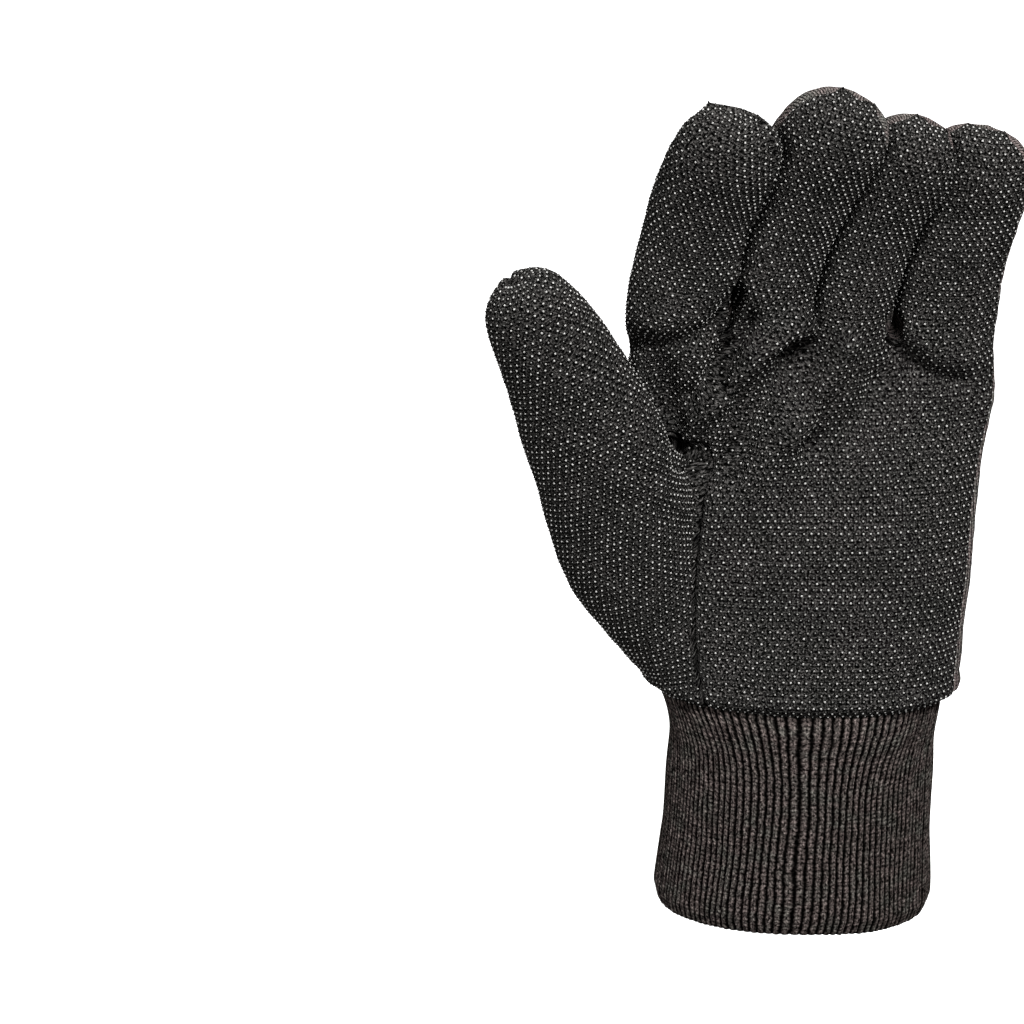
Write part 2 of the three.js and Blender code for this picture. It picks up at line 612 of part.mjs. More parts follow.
const glove = new THREE.Group();
function addNode(name, geometry, material) {
  const mesh = new THREE.Mesh(geometry, material);
  mesh.name = name;
  glove.add(mesh);
}
addNode("rib_cuff", await cuffGeometry(), ribKnit);
addNode("grip_palm", panelGeometry("grip_palm"), dottedJersey);
addNode("grip_thumb", panelGeometry("grip_thumb"), dottedJersey);
addNode("back_middle", panelGeometry("back_middle"), brownJersey);
addNode("back_ring", panelGeometry("back_ring"), brownJersey);
addNode("back_little", panelGeometry("back_little"), brownJersey);

export default glove;
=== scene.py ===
# The looks of a left-hand jersey work glove: dotted grip cloth on the palm, index finger and thumb, plain
# brown jersey on the back, and a rib-knit cuff. The cloth is built in millimetres on the same sections as the
# CAD part and written to Blender in metres. +Z runs to the fingertips, -Y is in front of the palm and -X is
# the thumb side.
import math
from collections import namedtuple

import bpy
import numpy as np
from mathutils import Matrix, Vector, kdtree, noise
from mathutils.bvhtree import BVHTree


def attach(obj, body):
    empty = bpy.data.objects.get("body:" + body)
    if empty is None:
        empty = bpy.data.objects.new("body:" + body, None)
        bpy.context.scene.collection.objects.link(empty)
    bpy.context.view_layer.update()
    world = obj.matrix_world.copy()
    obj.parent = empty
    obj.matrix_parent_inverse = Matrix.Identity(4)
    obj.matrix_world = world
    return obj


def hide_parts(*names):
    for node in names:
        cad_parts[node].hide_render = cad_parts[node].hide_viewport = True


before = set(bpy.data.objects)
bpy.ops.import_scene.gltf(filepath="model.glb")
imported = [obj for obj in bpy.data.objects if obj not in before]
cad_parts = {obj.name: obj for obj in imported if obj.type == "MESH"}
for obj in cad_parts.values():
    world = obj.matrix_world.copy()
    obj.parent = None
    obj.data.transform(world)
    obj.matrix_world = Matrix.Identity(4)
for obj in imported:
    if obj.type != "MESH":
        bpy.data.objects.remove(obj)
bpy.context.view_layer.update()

MM = 0.001

# Sizes of the glove, in millimetres and degrees
JERSEY_WALL = 1.0
SEAM_GAP = 0.3
CUFF_HEIGHT = 64
CUFF_WIDTH = 76
CUFF_DEPTH = 50
CUFF_WALL = 1.6
RIB_COUNT = 120
RIB_DEPTH = 0.6
PALM_LENGTH = 101
PALM_WIDTH = 94
PALM_DEPTH = 38
PALM_TWIST = 8
FINGER_GAP = 1.7
CROTCH_DROP = 0.5
THUMB_LENGTH = 111
THUMB_WIDTH = 31
THUMB_DEPTH = 26
THUMB_CUFF_CLEAR = 1.5
TIP_EAR = 1.6
SEAM_LIP = 0.15
PALM_FOOT = CUFF_HEIGHT + SEAM_GAP

# Grip dots and knit, in millimetres: the dots' pitch along and between their rows, their size, how near a
# sewn seam they stop, how far they stray from their rows and how their sizes vary, both as shares
DOT_PITCH = 2.05
DOT_ROW = 1.73
DOT_RADIUS = 0.26
DOT_HEIGHT = 0.26
DOT_SEAM_MARGIN = 1.0
DOT_STRAY = 0.05
DOT_SIZES = (0.75, 1.25)
WALE = 1.6
COURSE = 0.95

# Fingers: root as shares of the palm's width, length and depth, then sizes, lean and curl at root and tip,
# the swell of the thumb side as a share of the width, and the roll of the tip towards the thumb
Finger = namedtuple("Finger", "across rise forward length width depth lean curl flare roll")
FINGERS = (
    Finger(-0.362, 1.02, 0.24, 77, 27.5, 23, (1, 27), (10, 41), 0.07, 8),
    Finger(-0.14, 1.06, 0.15, 78, 27.5, 23, (5, 36), (9, 40), 0, 20),
    Finger(0.09, 1.04, 0.06, 69, 26, 21.5, (4, 37), (7, 38), 0, 18),
    Finger(0.366, 0.96, -0.02, 70, 28.5, 20, (3, 13), (5, 34), 0, 14),
)
# Finger sections: shares of the straight length, the width and the depth
FINGER_SECTIONS = (
    (0.0, 1.0, 1.1), (0.1, 0.97, 1.05), (0.24, 0.97, 1.02), (0.4, 0.98, 1.0),
    (0.56, 1.0, 0.98), (0.72, 1.04, 0.97), (0.87, 1.07, 0.95), (1.0, 1.04, 0.92),
)
FLARE_MIDDLE = 0.24
FLARE_REACH = 0.5
TIP_ARC = (24, 47, 66)
TIP_BLUNTNESS = 0.8
TIP_SEAM_SHARE = 0.3
TIP_SEAM_BACK = 0.7
TIP_DROP = 0.29
TIP_TILT = 28
TIP_LIP_BULGE = 0.5
# The cloth between the last section and a tip's seam, as a share of the finger's or the thumb's width
TIP_CLOTH_SHARE = 1 / 8

# Palm sections: share of its length, then centre and width as shares of its width, and depth and forward
# shift as shares of its depth
PALM_SECTIONS = (
    (0.0, 0.0, 0.9, 1.29, 0.0), (0.03, 0.0, 0.94, 1.31, 0.0), (0.1, 0.0, 0.945, 1.28, 0.0),
    (0.19, 0.005, 0.945, 1.23, 0.01), (0.28, 0.01, 0.945, 1.17, 0.02), (0.37, 0.012, 0.95, 1.11, 0.03),
    (0.46, 0.014, 0.955, 1.05, 0.04), (0.555, 0.014, 0.965, 0.99, 0.05), (0.65, 0.012, 0.98, 0.93, 0.06),
    (0.74, 0.01, 1.0, 0.87, 0.07), (0.83, 0.006, 1.02, 0.81, 0.08), (0.92, 0.002, 1.04, 0.74, 0.09),
    (1.0, 0.0, 1.05, 0.68, 0.1),
)
ROOT_BLEND_START = 0.35
ROOT_BLEND_POWER = 1.3
BACK_SEAMS_AT_CUFF = (0, 0.27, 0.68, 0.93, 1)
BACK_SEAMS_AT_ROOTS = (0, 0.29, 0.54, 0.77, 1)

# Dents of the palm's front: across, up, wide, tall, slant in degrees, depth as a share of the palm's depth
PALM_DENTS = (
    (0.08, 0.8, 0.24, 0.26, 20, 0.118), (-0.2, 0.66, 0.09, 0.24, 36, -0.079),
    (-0.3, 0.86, 0.1, 0.16, 36, 0.066), (-0.42, 0.82, 0.12, 0.16, 0, 0.132),
    (0.4, 0.8, 0.16, 0.06, 0, 0.058), (0.02, 0.35, 0.22, 0.3, 0, 0.04),
)
DENT_FADE = 0.15

# Thumb sections: out, forward and up as shares of its length, heading, lean and turn in degrees, wide and
# deep as shares of its width and depth, and how far the section has left the shape of the sewn hole
THUMB_SECTIONS = (
    (0.03, 0.022, 0.028, 85, 20, 8, 2.3, 1.12, 0.5), (0.068, 0.066, 0.075, 71, 12, 19, 2.03, 1.08, 0.62),
    (0.11, 0.105, 0.135, 65, 14, 22, 1.9, 1.03, 0.84), (0.145, 0.145, 0.2, 58, 13, 24, 1.8, 0.98, 0.96),
    (0.176, 0.185, 0.334, 51, 12, 25, 1.56, 0.95, 1), (0.212, 0.222, 0.446, 44, 14, 24, 1.33, 0.94, 1),
    (0.254, 0.258, 0.565, 37, 16, 22, 1.13, 0.94, 1), (0.295, 0.292, 0.675, 31, 18, 19, 0.97, 0.92, 1),
    (0.326, 0.323, 0.752, 26, 22, 16, 0.85, 0.88, 1),
)
THUMB_TIP = (0.352, 0.368, 0.836)
THUMB_CLEAR_SHARE = 0.25
# How far the palm's cloth is drawn to the thumb, as shares of the palm, and over which strips
THUMB_PULL = {"out": 0.064, "forward": 0.026, "low": 0.02, "high": 0.72, "from_strip": 1, "to_strip": 8}

# Strips of faces
FRONT_STRIPS = 5
SIDE_STRIPS = 4
THUMB_FRONT_STRIPS = 3
THUMB_BACK_STRIPS = 1
THUMB_ROWS = 9
THUMB_ROLL = 3
LINE_STEPS = 48
FINGER_SEAM_SHARE = 0.88
PALM_SEAM_SHARE = 0.86
OVAL_POWER = 2.25
FRONT_COUNT = FRONT_STRIPS * len(FINGERS)
LOOP_COUNT = 2 * FRONT_COUNT + 2 * SIDE_STRIPS
BACK_START = FRONT_COUNT + SIDE_STRIPS
TOP_ROW = len(PALM_SECTIONS) - 1
FINGER_LOOP_COUNT = 2 * FRONT_STRIPS + 2 * SIDE_STRIPS
BACK_OF_LOOP = FRONT_STRIPS + SIDE_STRIPS
# The dotted cloth wraps half way round a finger's thumb side, and a strip round the other side
WRAP_START = FINGER_LOOP_COUNT - SIDE_STRIPS // 2
FAR_WRAP = 1

PANELS = ("grip_palm", "grip_thumb", "back_middle", "back_ring", "back_little")
PALM, THUMB, MIDDLE, RING, LITTLE = range(len(PANELS))
FINGER_BACKS = (PALM, MIDDLE, RING, LITTLE)
# One unit of the cloth's UV map is this many millimetres
UV_SIZE = 320
CLOTH_START = (0.5, 0.1)


# Small maths
def mix(a, b, share):
    return a + (b - a) * share


def smooth(low, high, value):
    t = np.clip((value - low) / (high - low), 0, 1)
    return t * t * (3 - 2 * t)


def unit(v):
    return v / np.linalg.norm(v)


def even_places(count):
    return [2 * k / count - 1 for k in range(count + 1)]


def oval_height(share):
    return (1 - min(1, abs(share)) ** OVAL_POWER) ** (1 / OVAL_POWER)


def oval_side(wave):
    return math.copysign(abs(wave) ** (2 / OVAL_POWER), wave)


def oval_loop(front_places, back_places, corner):
    """The corners of an oval section: along the front, the far side, the back and the near side."""
    high = oval_height(corner)
    sides = [2 * (k + 1) / SIDE_STRIPS - 1 for k in range(SIDE_STRIPS - 1)]
    return (
        [(p * corner, -oval_height(p * corner)) for p in front_places]
        + [(oval_height(p * high), p * high) for p in sides]
        + [(p * corner, oval_height(p * corner)) for p in reversed(back_places)]
        + [(-oval_height(p * high), p * high) for p in reversed(sides)]
    )


FINGER_LOOP = oval_loop(even_places(FRONT_STRIPS), even_places(FRONT_STRIPS), FINGER_SEAM_SHARE)

Section = namedtuple("Section", "centre u v along half_width half_depth")


def on_section(section, place):
    across, deep = place
    return section.centre + across * section.half_width * section.u + deep * section.half_depth * section.v


# Fingers
def finger_heading(finger, share):
    lean = math.radians(mix(*finger.lean, share))
    curl = math.radians(mix(*finger.curl, share))
    return np.array((math.sin(lean) * math.cos(curl), -math.sin(curl), math.cos(lean) * math.cos(curl)))


def finger_line(finger):
    x = finger.across * PALM_WIDTH
    y = x * math.tan(math.radians(PALM_TWIST)) - finger.forward * PALM_DEPTH
    line = [np.array((x, y, PALM_FOOT + finger.rise * PALM_LENGTH))]
    for k in range(LINE_STEPS):
        line.append(line[k] + finger_heading(finger, (k + 0.5) / LINE_STEPS) * finger.length / LINE_STEPS)
    return np.array(line)


def finger_section(finger, line, share, half_width, half_depth, sideways=0.0):
    twist = math.radians(PALM_TWIST)
    across = np.array((math.cos(twist), math.sin(twist), 0))
    low = min(LINE_STEPS - 1, int(share * LINE_STEPS))
    centre = mix(line[low], line[low + 1], share * LINE_STEPS - low)
    along = finger_heading(finger, share)
    u = unit(across - across.dot(along) * along)
    roll = math.radians(finger.roll) * share
    u = u * math.cos(roll) - np.cross(along, u) * math.sin(roll)
    return Section(centre + u * sideways, u, np.cross(along, u), along, half_width, half_depth)


def finger_sections(finger, line):
    radius = finger.width / 2
    straight = finger.length - radius
    sections = []
    for along, wide, deep in FINGER_SECTIONS:
        flare = finger.flare * radius * (1 - smooth(0, FLARE_REACH, abs(along - FLARE_MIDDLE)))
        share = along * straight / finger.length
        sections.append(
            finger_section(finger, line, share, wide * radius + flare, deep * finger.depth / 2, -flare))
    wide, deep = FINGER_SECTIONS[-1][1:]
    for degrees in TIP_ARC:
        shrink = math.cos(math.radians(degrees)) ** TIP_BLUNTNESS
        sections.append(tip_section(
            finger, line, math.sin(math.radians(degrees)), shrink, wide * radius * shrink, deep))
    return sections, tip_section(finger, line, 1, 0, radius * TIP_SEAM_SHARE, deep)


def tip_section(finger, line, wave, shrink, half_width, deep):
    """A section of the round tip, shrunk towards the seam and leaning back over it."""
    radius = finger.width / 2
    reach = radius * wave * (1 - TIP_DROP * (1 - shrink))
    share = (finger.length - radius + reach) / finger.length
    half_depth = deep * finger.depth / 2
    section = finger_section(finger, line, share, half_width, half_depth * shrink)
    tilt = math.radians(TIP_TILT) * wave
    return section._replace(
        centre=section.centre + section.v * TIP_SEAM_BACK * half_depth * (1 - shrink),
        v=section.v * math.cos(tilt) - section.along * math.sin(tilt),
        along=section.along * math.cos(tilt) + section.v * math.sin(tilt))


def keep_apart(point, centre, width, other_line, other_width):
    """Pushes a point back from the plane midway between its own finger and a neighbour."""
    nearest = other_line[np.argmin(np.linalg.norm(other_line - centre, axis=1))]
    normal = unit(nearest - centre)
    middle = mix(centre, nearest, width / (width + other_width))
    past = (point - middle).dot(normal) + FINGER_GAP / 2
    return point - normal * past if past > 0 else point


# The outer surface of the glove as four-sided faces, each with its panel and the place of its corners on the
# flat cloth. rise is how far a point lies up the cloth, group keeps neighbouring fingers' cloth apart, and
# tips are the ends of the fingertip seams.
class Surface:
    def __init__(self):
        self.points = []
        self.rise = []
        self.faces = []
        self.panels = []
        self.cloth = []
        self.groups = []
        self.group = 0
        self.tips = []

    def point(self, place, rise=0.0):
        self.points.append(place)
        self.rise.append(rise)
        return len(self.points) - 1

    def places(self, loop):
        return np.array([self.points[k] for k in loop])

    def above(self, place, below):
        """A point whose place on the cloth lies beyond an earlier one."""
        return self.point(place, self.rise[below] + np.linalg.norm(place - self.points[below]))

    def face(self, panel, corners, cloth):
        self.faces.append(corners)
        self.panels.append(panel)
        self.cloth.append(cloth)
        self.groups.append(self.group)

    def strip(self, panel_of, spans, below, above, rises=None):
        """The faces between two loops. spans gives each panel's anchor, cut and shift across the cloth."""
        count = len(above)
        low_rise, high_rise = rises or ([self.rise[k] for k in below], [self.rise[k] for k in above])
        rolled = {
            panel: (unrolled(self.places(below), anchor, cut) + shift,
                    unrolled(self.places(above), anchor, cut) + shift, cut)
            for panel, (anchor, cut, shift) in spans.items()
        }
        for k in range(count):
            panel = panel_of(k)
            if panel is None:
                continue
            low, high, cut = rolled[panel]
            at = (k - cut) % count
            after = (k + 1) % count
            self.face(panel, (below[k], below[after], above[after], above[k]), (
                (low[at], low_rise[k]), (low[at + 1], low_rise[after]),
                (high[at + 1], high_rise[after]), (high[at], high_rise[k])))


def unrolled(places, anchor, cut):
    """How far each corner of a closed loop lies from an anchor along it, once round from the cut."""
    count = len(places)
    order = [(cut + m) % count for m in range(count + 1)]
    steps = np.linalg.norm(np.diff(places[order], axis=0), axis=1)
    lengths = np.concatenate(([0], np.cumsum(steps)))
    return lengths - np.interp((anchor - cut) % count, range(count + 1), lengths)


# The palm
def palm_oval(row):
    up, centre, wide, deep, forward = PALM_SECTIONS[row]
    seams = [mix(a, b, up) for a, b in zip(BACK_SEAMS_AT_CUFF, BACK_SEAMS_AT_ROOTS)]
    back = [-1.0]
    for k in range(len(FINGERS)):
        back += [2 * mix(seams[k], seams[k + 1], (j + 1) / FRONT_STRIPS) - 1 for j in range(FRONT_STRIPS)]
    turn = math.radians(PALM_TWIST * up)
    section = Section(
        np.array((centre * PALM_WIDTH, -forward * PALM_DEPTH, PALM_FOOT + up * PALM_LENGTH)),
        np.array((math.cos(turn), math.sin(turn), 0)), np.array((-math.sin(turn), math.cos(turn), 0)),
        None, wide * PALM_WIDTH / 2, deep * PALM_DEPTH / 2)
    loop = oval_loop(even_places(FRONT_COUNT), back, PALM_SEAM_SHARE)
    return np.array([on_section(section, place) for place in loop])


def root_loop(root_loops):
    """The finger roots as one loop round the top of the palm."""
    loop = [None] * LOOP_COUNT
    for i, own in enumerate(root_loops):
        for k in range(FRONT_STRIPS + 1):
            front = i * FRONT_STRIPS + k
            back = BACK_START + (len(FINGERS) - 1 - i) * FRONT_STRIPS + k
            for place, corner in ((front, own[k]), (back % LOOP_COUNT, own[BACK_OF_LOOP + k])):
                loop[place] = corner if loop[place] is None else (loop[place] + corner) / 2
    for k in range(1, SIDE_STRIPS):
        loop[FRONT_COUNT + k] = root_loops[-1][FRONT_STRIPS + k]
        loop[LOOP_COUNT - k] = root_loops[0][-k]
    return np.array(loop)


def thumb_pull(column, up):
    near = 1 - smooth(THUMB_PULL["from_strip"], THUMB_PULL["to_strip"], min(column, LOOP_COUNT - column))
    share = np.clip((up - THUMB_PULL["low"]) / (THUMB_PULL["high"] - THUMB_PULL["low"]), 0, 1)
    pull = near * math.sin(math.pi * share)
    return np.array((-THUMB_PULL["out"] * PALM_WIDTH * pull, -THUMB_PULL["forward"] * PALM_DEPTH * pull, 0))


def dent_depth(x, z):
    total = 0.0
    for across, up, wide, tall, slant, depth in PALM_DENTS:
        turn = math.radians(slant)
        dx = x - across * PALM_WIDTH
        dz = z - CUFF_HEIGHT - up * PALM_LENGTH
        a = (dx * math.cos(turn) - dz * math.sin(turn)) / (wide * PALM_WIDTH)
        b = (dx * math.sin(turn) + dz * math.cos(turn)) / (tall * PALM_LENGTH)
        total += depth * PALM_DEPTH * math.exp(-a * a - b * b)
    return total


def palm_rows(surface, root_loops):
    top_points = root_loop(root_loops)
    top_oval = palm_oval(TOP_ROW)
    grid = []
    for row, section in enumerate(PALM_SECTIONS):
        up = section[0]
        blend = smooth(ROOT_BLEND_START, 1, up) ** ROOT_BLEND_POWER
        oval = palm_oval(row) + (top_points - top_oval) * blend
        line = []
        for column, point in enumerate(oval):
            point = point + thumb_pull(column, up)
            if 0 < column < FRONT_COUNT:
                point[1] += dent_depth(point[0], point[2]) * smooth(0, DENT_FADE, up)
            line.append(surface.above(point, grid[-1][column]) if grid else surface.point(point))
        grid.append(line)
    return grid


def panel_of_column(column):
    if column < FRONT_COUNT + FAR_WRAP or column >= BACK_START + 3 * FRONT_STRIPS:
        return PALM
    return (LITTLE, RING, MIDDLE)[max(0, column - BACK_START) // FRONT_STRIPS]


def in_thumb_hole(row, column):
    return row < THUMB_ROWS and (
        column < THUMB_FRONT_STRIPS or column >= LOOP_COUNT - SIDE_STRIPS - THUMB_BACK_STRIPS)


# The middle of each panel's stretch of a palm row, and a cut outside it
PALM_SPANS = {
    PALM: (FRONT_COUNT / 2, BACK_START + FRONT_STRIPS, 0),
    LITTLE: (BACK_START + 0.5 * FRONT_STRIPS, FRONT_STRIPS, 0),
    RING: (BACK_START + 1.5 * FRONT_STRIPS, FRONT_STRIPS, 0),
    MIDDLE: (BACK_START + 2.5 * FRONT_STRIPS, FRONT_STRIPS, 0),
}


def add_palm(surface, grid):
    for row in range(TOP_ROW):
        surface.strip(
            lambda column: None if in_thumb_hole(row, column) else panel_of_column(column),
            PALM_SPANS, grid[row], grid[row + 1])


# Tips
def tip_seam(surface, end, ear, settle, edges, rise):
    def add(place):
        return surface.point(settle(place), rise)

    line = [
        add(on_section(end, (p, 0)) - (end.u * ear if p == -1 else 0 * end.u)) for p in even_places(edges)]
    sides = []
    for sign in (-1, 1):
        side = []
        for place in (-1, 0, 1):
            out = end.half_width + (ear if sign < 0 else 0) + SEAM_LIP * (1 + TIP_LIP_BULGE - place * place)
            side.append(add(
                end.centre + end.u * sign * out + end.v * place * SEAM_LIP - end.along * SEAM_LIP))
        sides.append(side)
    surface.tips += [surface.points[side[1]] for side in sides]
    return line, sides[0][::-1], sides[1]


def close_tip(surface, panel_of, spans, ring, seam, rises=None):
    line, near, far = seam
    front_edges = len(line) - 1
    back_edge = front_edges + SIDE_STRIPS
    above = []
    for k in range(len(ring)):
        if k <= front_edges:
            above.append(line[k])
        elif k < back_edge:
            above.append(far[k - front_edges - 1])
        elif k <= back_edge + front_edges:
            above.append(line[back_edge + front_edges - k])
        else:
            above.append(near[k - back_edge - front_edges - 1])
    first = len(surface.faces)
    surface.strip(panel_of, spans, ring, above, rises)
    for edge, corners in ((front_edges, (line[-1], *far)), (len(ring) - 1, (line[0], *near))):
        u, v = surface.cloth[first + edge][2]
        surface.face(panel_of(edge), corners, ((u, v), (u + 1, v), (u + 2, v), (u + 1, v + 1)))


def add_finger(surface, grid, crotches, bones, i):
    finger, _, sections, end = bones[i]
    top = grid[TOP_ROW]
    back_at = BACK_START + (len(FINGERS) - 1 - i) * FRONT_STRIPS
    far = crotches[i] if i < len(crotches) else top[FRONT_COUNT + 1:BACK_START]
    near = crotches[i - 1][::-1] if i > 0 else top[1 - SIDE_STRIPS:]
    back = [top[(back_at + k) % LOOP_COUNT] for k in range(FRONT_STRIPS + 1)]
    below = top[i * FRONT_STRIPS:(i + 1) * FRONT_STRIPS + 1] + far + back + near
    middle = FRONT_STRIPS / 2
    palm_u = unrolled(surface.places(top), *PALM_SPANS[PALM][:2])
    at = (i * FRONT_STRIPS + middle - PALM_SPANS[PALM][1]) % LOOP_COUNT
    shift = np.interp(at, range(LOOP_COUNT + 1), palm_u)
    own = FINGER_BACKS[i]
    spans = {PALM: (middle, FRONT_STRIPS if i == 0 else BACK_OF_LOOP, shift)}
    if i > 0:
        spans[own] = (BACK_OF_LOOP + middle, 2, 0)

    def panel_of(k):
        return PALM if k < FRONT_STRIPS + FAR_WRAP or k >= WRAP_START else own

    def settle(place, centre):
        for other in bones[max(0, i - 1):i] + bones[i + 1:i + 2]:
            place = keep_apart(place, centre, finger.width, other[1], other[0].width)
        return place

    for section in sections[1:]:
        places = [settle(on_section(section, p), section.centre) for p in FINGER_LOOP]
        ring = [surface.above(place, below[k]) for k, place in enumerate(places)]
        surface.strip(panel_of, spans, below, ring)
        below = ring
    rise = np.mean([surface.rise[k] for k in below]) + finger.width * TIP_CLOTH_SHARE
    seam = tip_seam(
        surface, end, TIP_EAR if i == 0 else 0, lambda p: settle(p, end.centre), FRONT_STRIPS, rise)
    close_tip(surface, panel_of, spans, below, seam)


# The thumb
def thumb_hole(grid, hole_strips):
    columns = [(THUMB_FRONT_STRIPS - k) % LOOP_COUNT for k in range(hole_strips + 1)]
    rows = range(THUMB_ROWS)
    return (
        [grid[row][columns[0]] for row in rows]
        + [grid[THUMB_ROWS][column] for column in columns]
        + [grid[row][columns[-1]] for row in reversed(rows[1:])]
        + [grid[0][column] for column in reversed(columns[1:])]
    )


def thumb_section(middle, out, forward, up, heading, lean, turn, wide, deep):
    heading, lean, turn = map(math.radians, (heading, lean, turn))
    centre = middle + np.array((-out, -forward, up)) * THUMB_LENGTH
    along = np.array((
        -math.sin(heading) * math.cos(lean), -math.sin(lean), math.cos(heading) * math.cos(lean)))
    level = np.array((math.cos(heading), 0, math.sin(heading)))
    u = level * math.cos(turn) - np.cross(along, level) * math.sin(turn)
    u += along * along.dot(level) * (1 - math.cos(turn))
    return Section(centre, u, np.cross(along, u), along, wide * THUMB_WIDTH / 2, deep * THUMB_DEPTH / 2)


# How many strips the thumb's own seam lies behind its outer edge
THUMB_SEAM_STRIPS = 5


def add_thumb(surface, grid, index_line):
    hole_strips = THUMB_FRONT_STRIPS + SIDE_STRIPS + THUMB_BACK_STRIPS
    hole = thumb_hole(grid, hole_strips)
    count = len(hole)
    outer_edge = count - hole_strips // 2 - THUMB_ROLL
    middle = surface.places(hole).mean(axis=0)
    below_index = index_line[0] - np.array((0, 0, PALM_LENGTH * THUMB_CLEAR_SHARE))
    palm_side = np.vstack((below_index, index_line))
    rings = [hole]

    def grow(section, own):
        ring = []
        for k, corner in enumerate(hole):
            angle = 2 * math.pi * (k - outer_edge) / count
            place = on_section(section, (-oval_side(math.cos(angle)), -oval_side(math.sin(angle))))
            if own == 1:
                place = keep_apart(
                    place, section.centre, 2 * section.half_width, palm_side, FINGERS[0].width)
            else:
                place = mix(surface.points[corner], place, own)
                place[2] = max(place[2], CUFF_HEIGHT + THUMB_CUFF_CLEAR)
            ring.append(surface.point(place))
        rings.append(ring)

    for values in THUMB_SECTIONS:
        grow(thumb_section(middle, *values[:-1]), values[-1])
    last_values = THUMB_SECTIONS[-1]
    last = thumb_section(middle, *last_values[:-1])
    tip = thumb_section(middle, *THUMB_TIP, *last_values[3:6], TIP_SEAM_SHARE, 0)
    for degrees in TIP_ARC:
        shrink = math.cos(math.radians(degrees)) ** TIP_BLUNTNESS
        centre = mix(last.centre, tip.centre, math.sin(math.radians(degrees)))
        grow(last._replace(
            centre=centre, half_width=last.half_width * shrink, half_depth=last.half_depth * shrink), 1)
    steps = [
        np.linalg.norm(surface.places(high) - surface.places(low), axis=1)
        for low, high in zip(rings, rings[1:])]
    rises = [np.zeros(count) + THUMB_LENGTH]
    for step in reversed(steps):
        rises.append(rises[-1] - step)
    rises.reverse()
    cut = (outer_edge - THUMB_SEAM_STRIPS) % count
    spans = {THUMB: (cut + count / 2, cut, 0)}
    for k in range(len(rings) - 1):
        surface.strip(lambda _: THUMB, spans, rings[k], rings[k + 1], (rises[k], rises[k + 1]))
    edges = count // 2 - SIDE_STRIPS
    start = outer_edge + SIDE_STRIPS // 2
    turned = [rings[-1][(k + start) % count] for k in range(count)]
    seam = tip_seam(surface, tip, 0, lambda p: p, edges, THUMB_LENGTH)
    turned_spans = {THUMB: ((cut + count / 2 - start) % count, (cut - start) % count, 0)}
    flat = np.zeros(count)
    close_tip(
        surface, lambda _: THUMB, turned_spans, turned, seam,
        (flat + THUMB_LENGTH, flat + THUMB_LENGTH + THUMB_WIDTH * TIP_CLOTH_SHARE))


def glove_surface():
    surface = Surface()
    bones = []
    for finger in FINGERS:
        line = finger_line(finger)
        bones.append((finger, line, *finger_sections(finger, line)))
    root_loops = [[on_section(bone[2][0], place) for place in FINGER_LOOP] for bone in bones]
    grid = palm_rows(surface, root_loops)
    add_palm(surface, grid)
    crotches = []
    for i in range(len(FINGERS) - 1):
        front = grid[TOP_ROW][(i + 1) * FRONT_STRIPS]
        line = []
        for k in range(SIDE_STRIPS - 1):
            place = (root_loops[i][FRONT_STRIPS + 1 + k] + root_loops[i + 1][-1 - k]) / 2
            line.append(surface.point(place - np.array((0, 0, CROTCH_DROP)), surface.rise[front]))
        crotches.append(line)
    for i in range(len(FINGERS)):
        surface.group = i % 2
        add_finger(surface, grid, crotches, bones, i)
    surface.group = 0
    add_thumb(surface, grid, bones[0][1])
    return surface


# The flat cloth: each panel relaxes until its faces keep their shape, so that the knit isn't stretched much.
# Corners of one point that start within CORNER_REACH of each other are one place on the cloth.
RELAX_STEPS = 40
RELAX_HOLD = 0.002
CORNER_REACH = 4.0
CORNER_PAIRS = ((0, 1), (1, 2), (2, 3), (3, 0), (0, 2), (1, 3))
SMALLEST = 1e-9


def cloth_corners(surface, own):
    """The separate places of some faces' corners on the flat cloth, and which four each face has."""
    known, start, corners = {}, [], []
    for f in own:
        for point, place in zip(surface.faces[f], surface.cloth[f]):
            place = np.array(place, dtype=float)
            near = [k for k in known.get(point, ()) if np.linalg.norm(start[k] - place) < CORNER_REACH]
            if not near:
                near = [len(start)]
                start.append(place)
                known.setdefault(point, []).extend(near)
            corners.append(near[0])
    return np.array(start), np.array(corners).reshape(-1, 4)


def laid_flat(solid):
    """Four-sided faces turned into their own planes."""
    normal = np.cross(solid[:, 2] - solid[:, 0], solid[:, 3] - solid[:, 1])
    across = solid[:, 1] + solid[:, 2] - solid[:, 0] - solid[:, 3]
    leaning = np.sum(across * normal, 1) / np.maximum(np.sum(normal * normal, 1), SMALLEST)
    across -= normal * leaning[:, None]
    across /= np.maximum(np.linalg.norm(across, axis=1), SMALLEST)[:, None]
    upward = np.cross(normal, across)
    upward /= np.maximum(np.linalg.norm(upward, axis=1), SMALLEST)[:, None]
    return np.stack((np.einsum("nij,nj->ni", solid, across), np.einsum("nij,nj->ni", solid, upward)), 2)


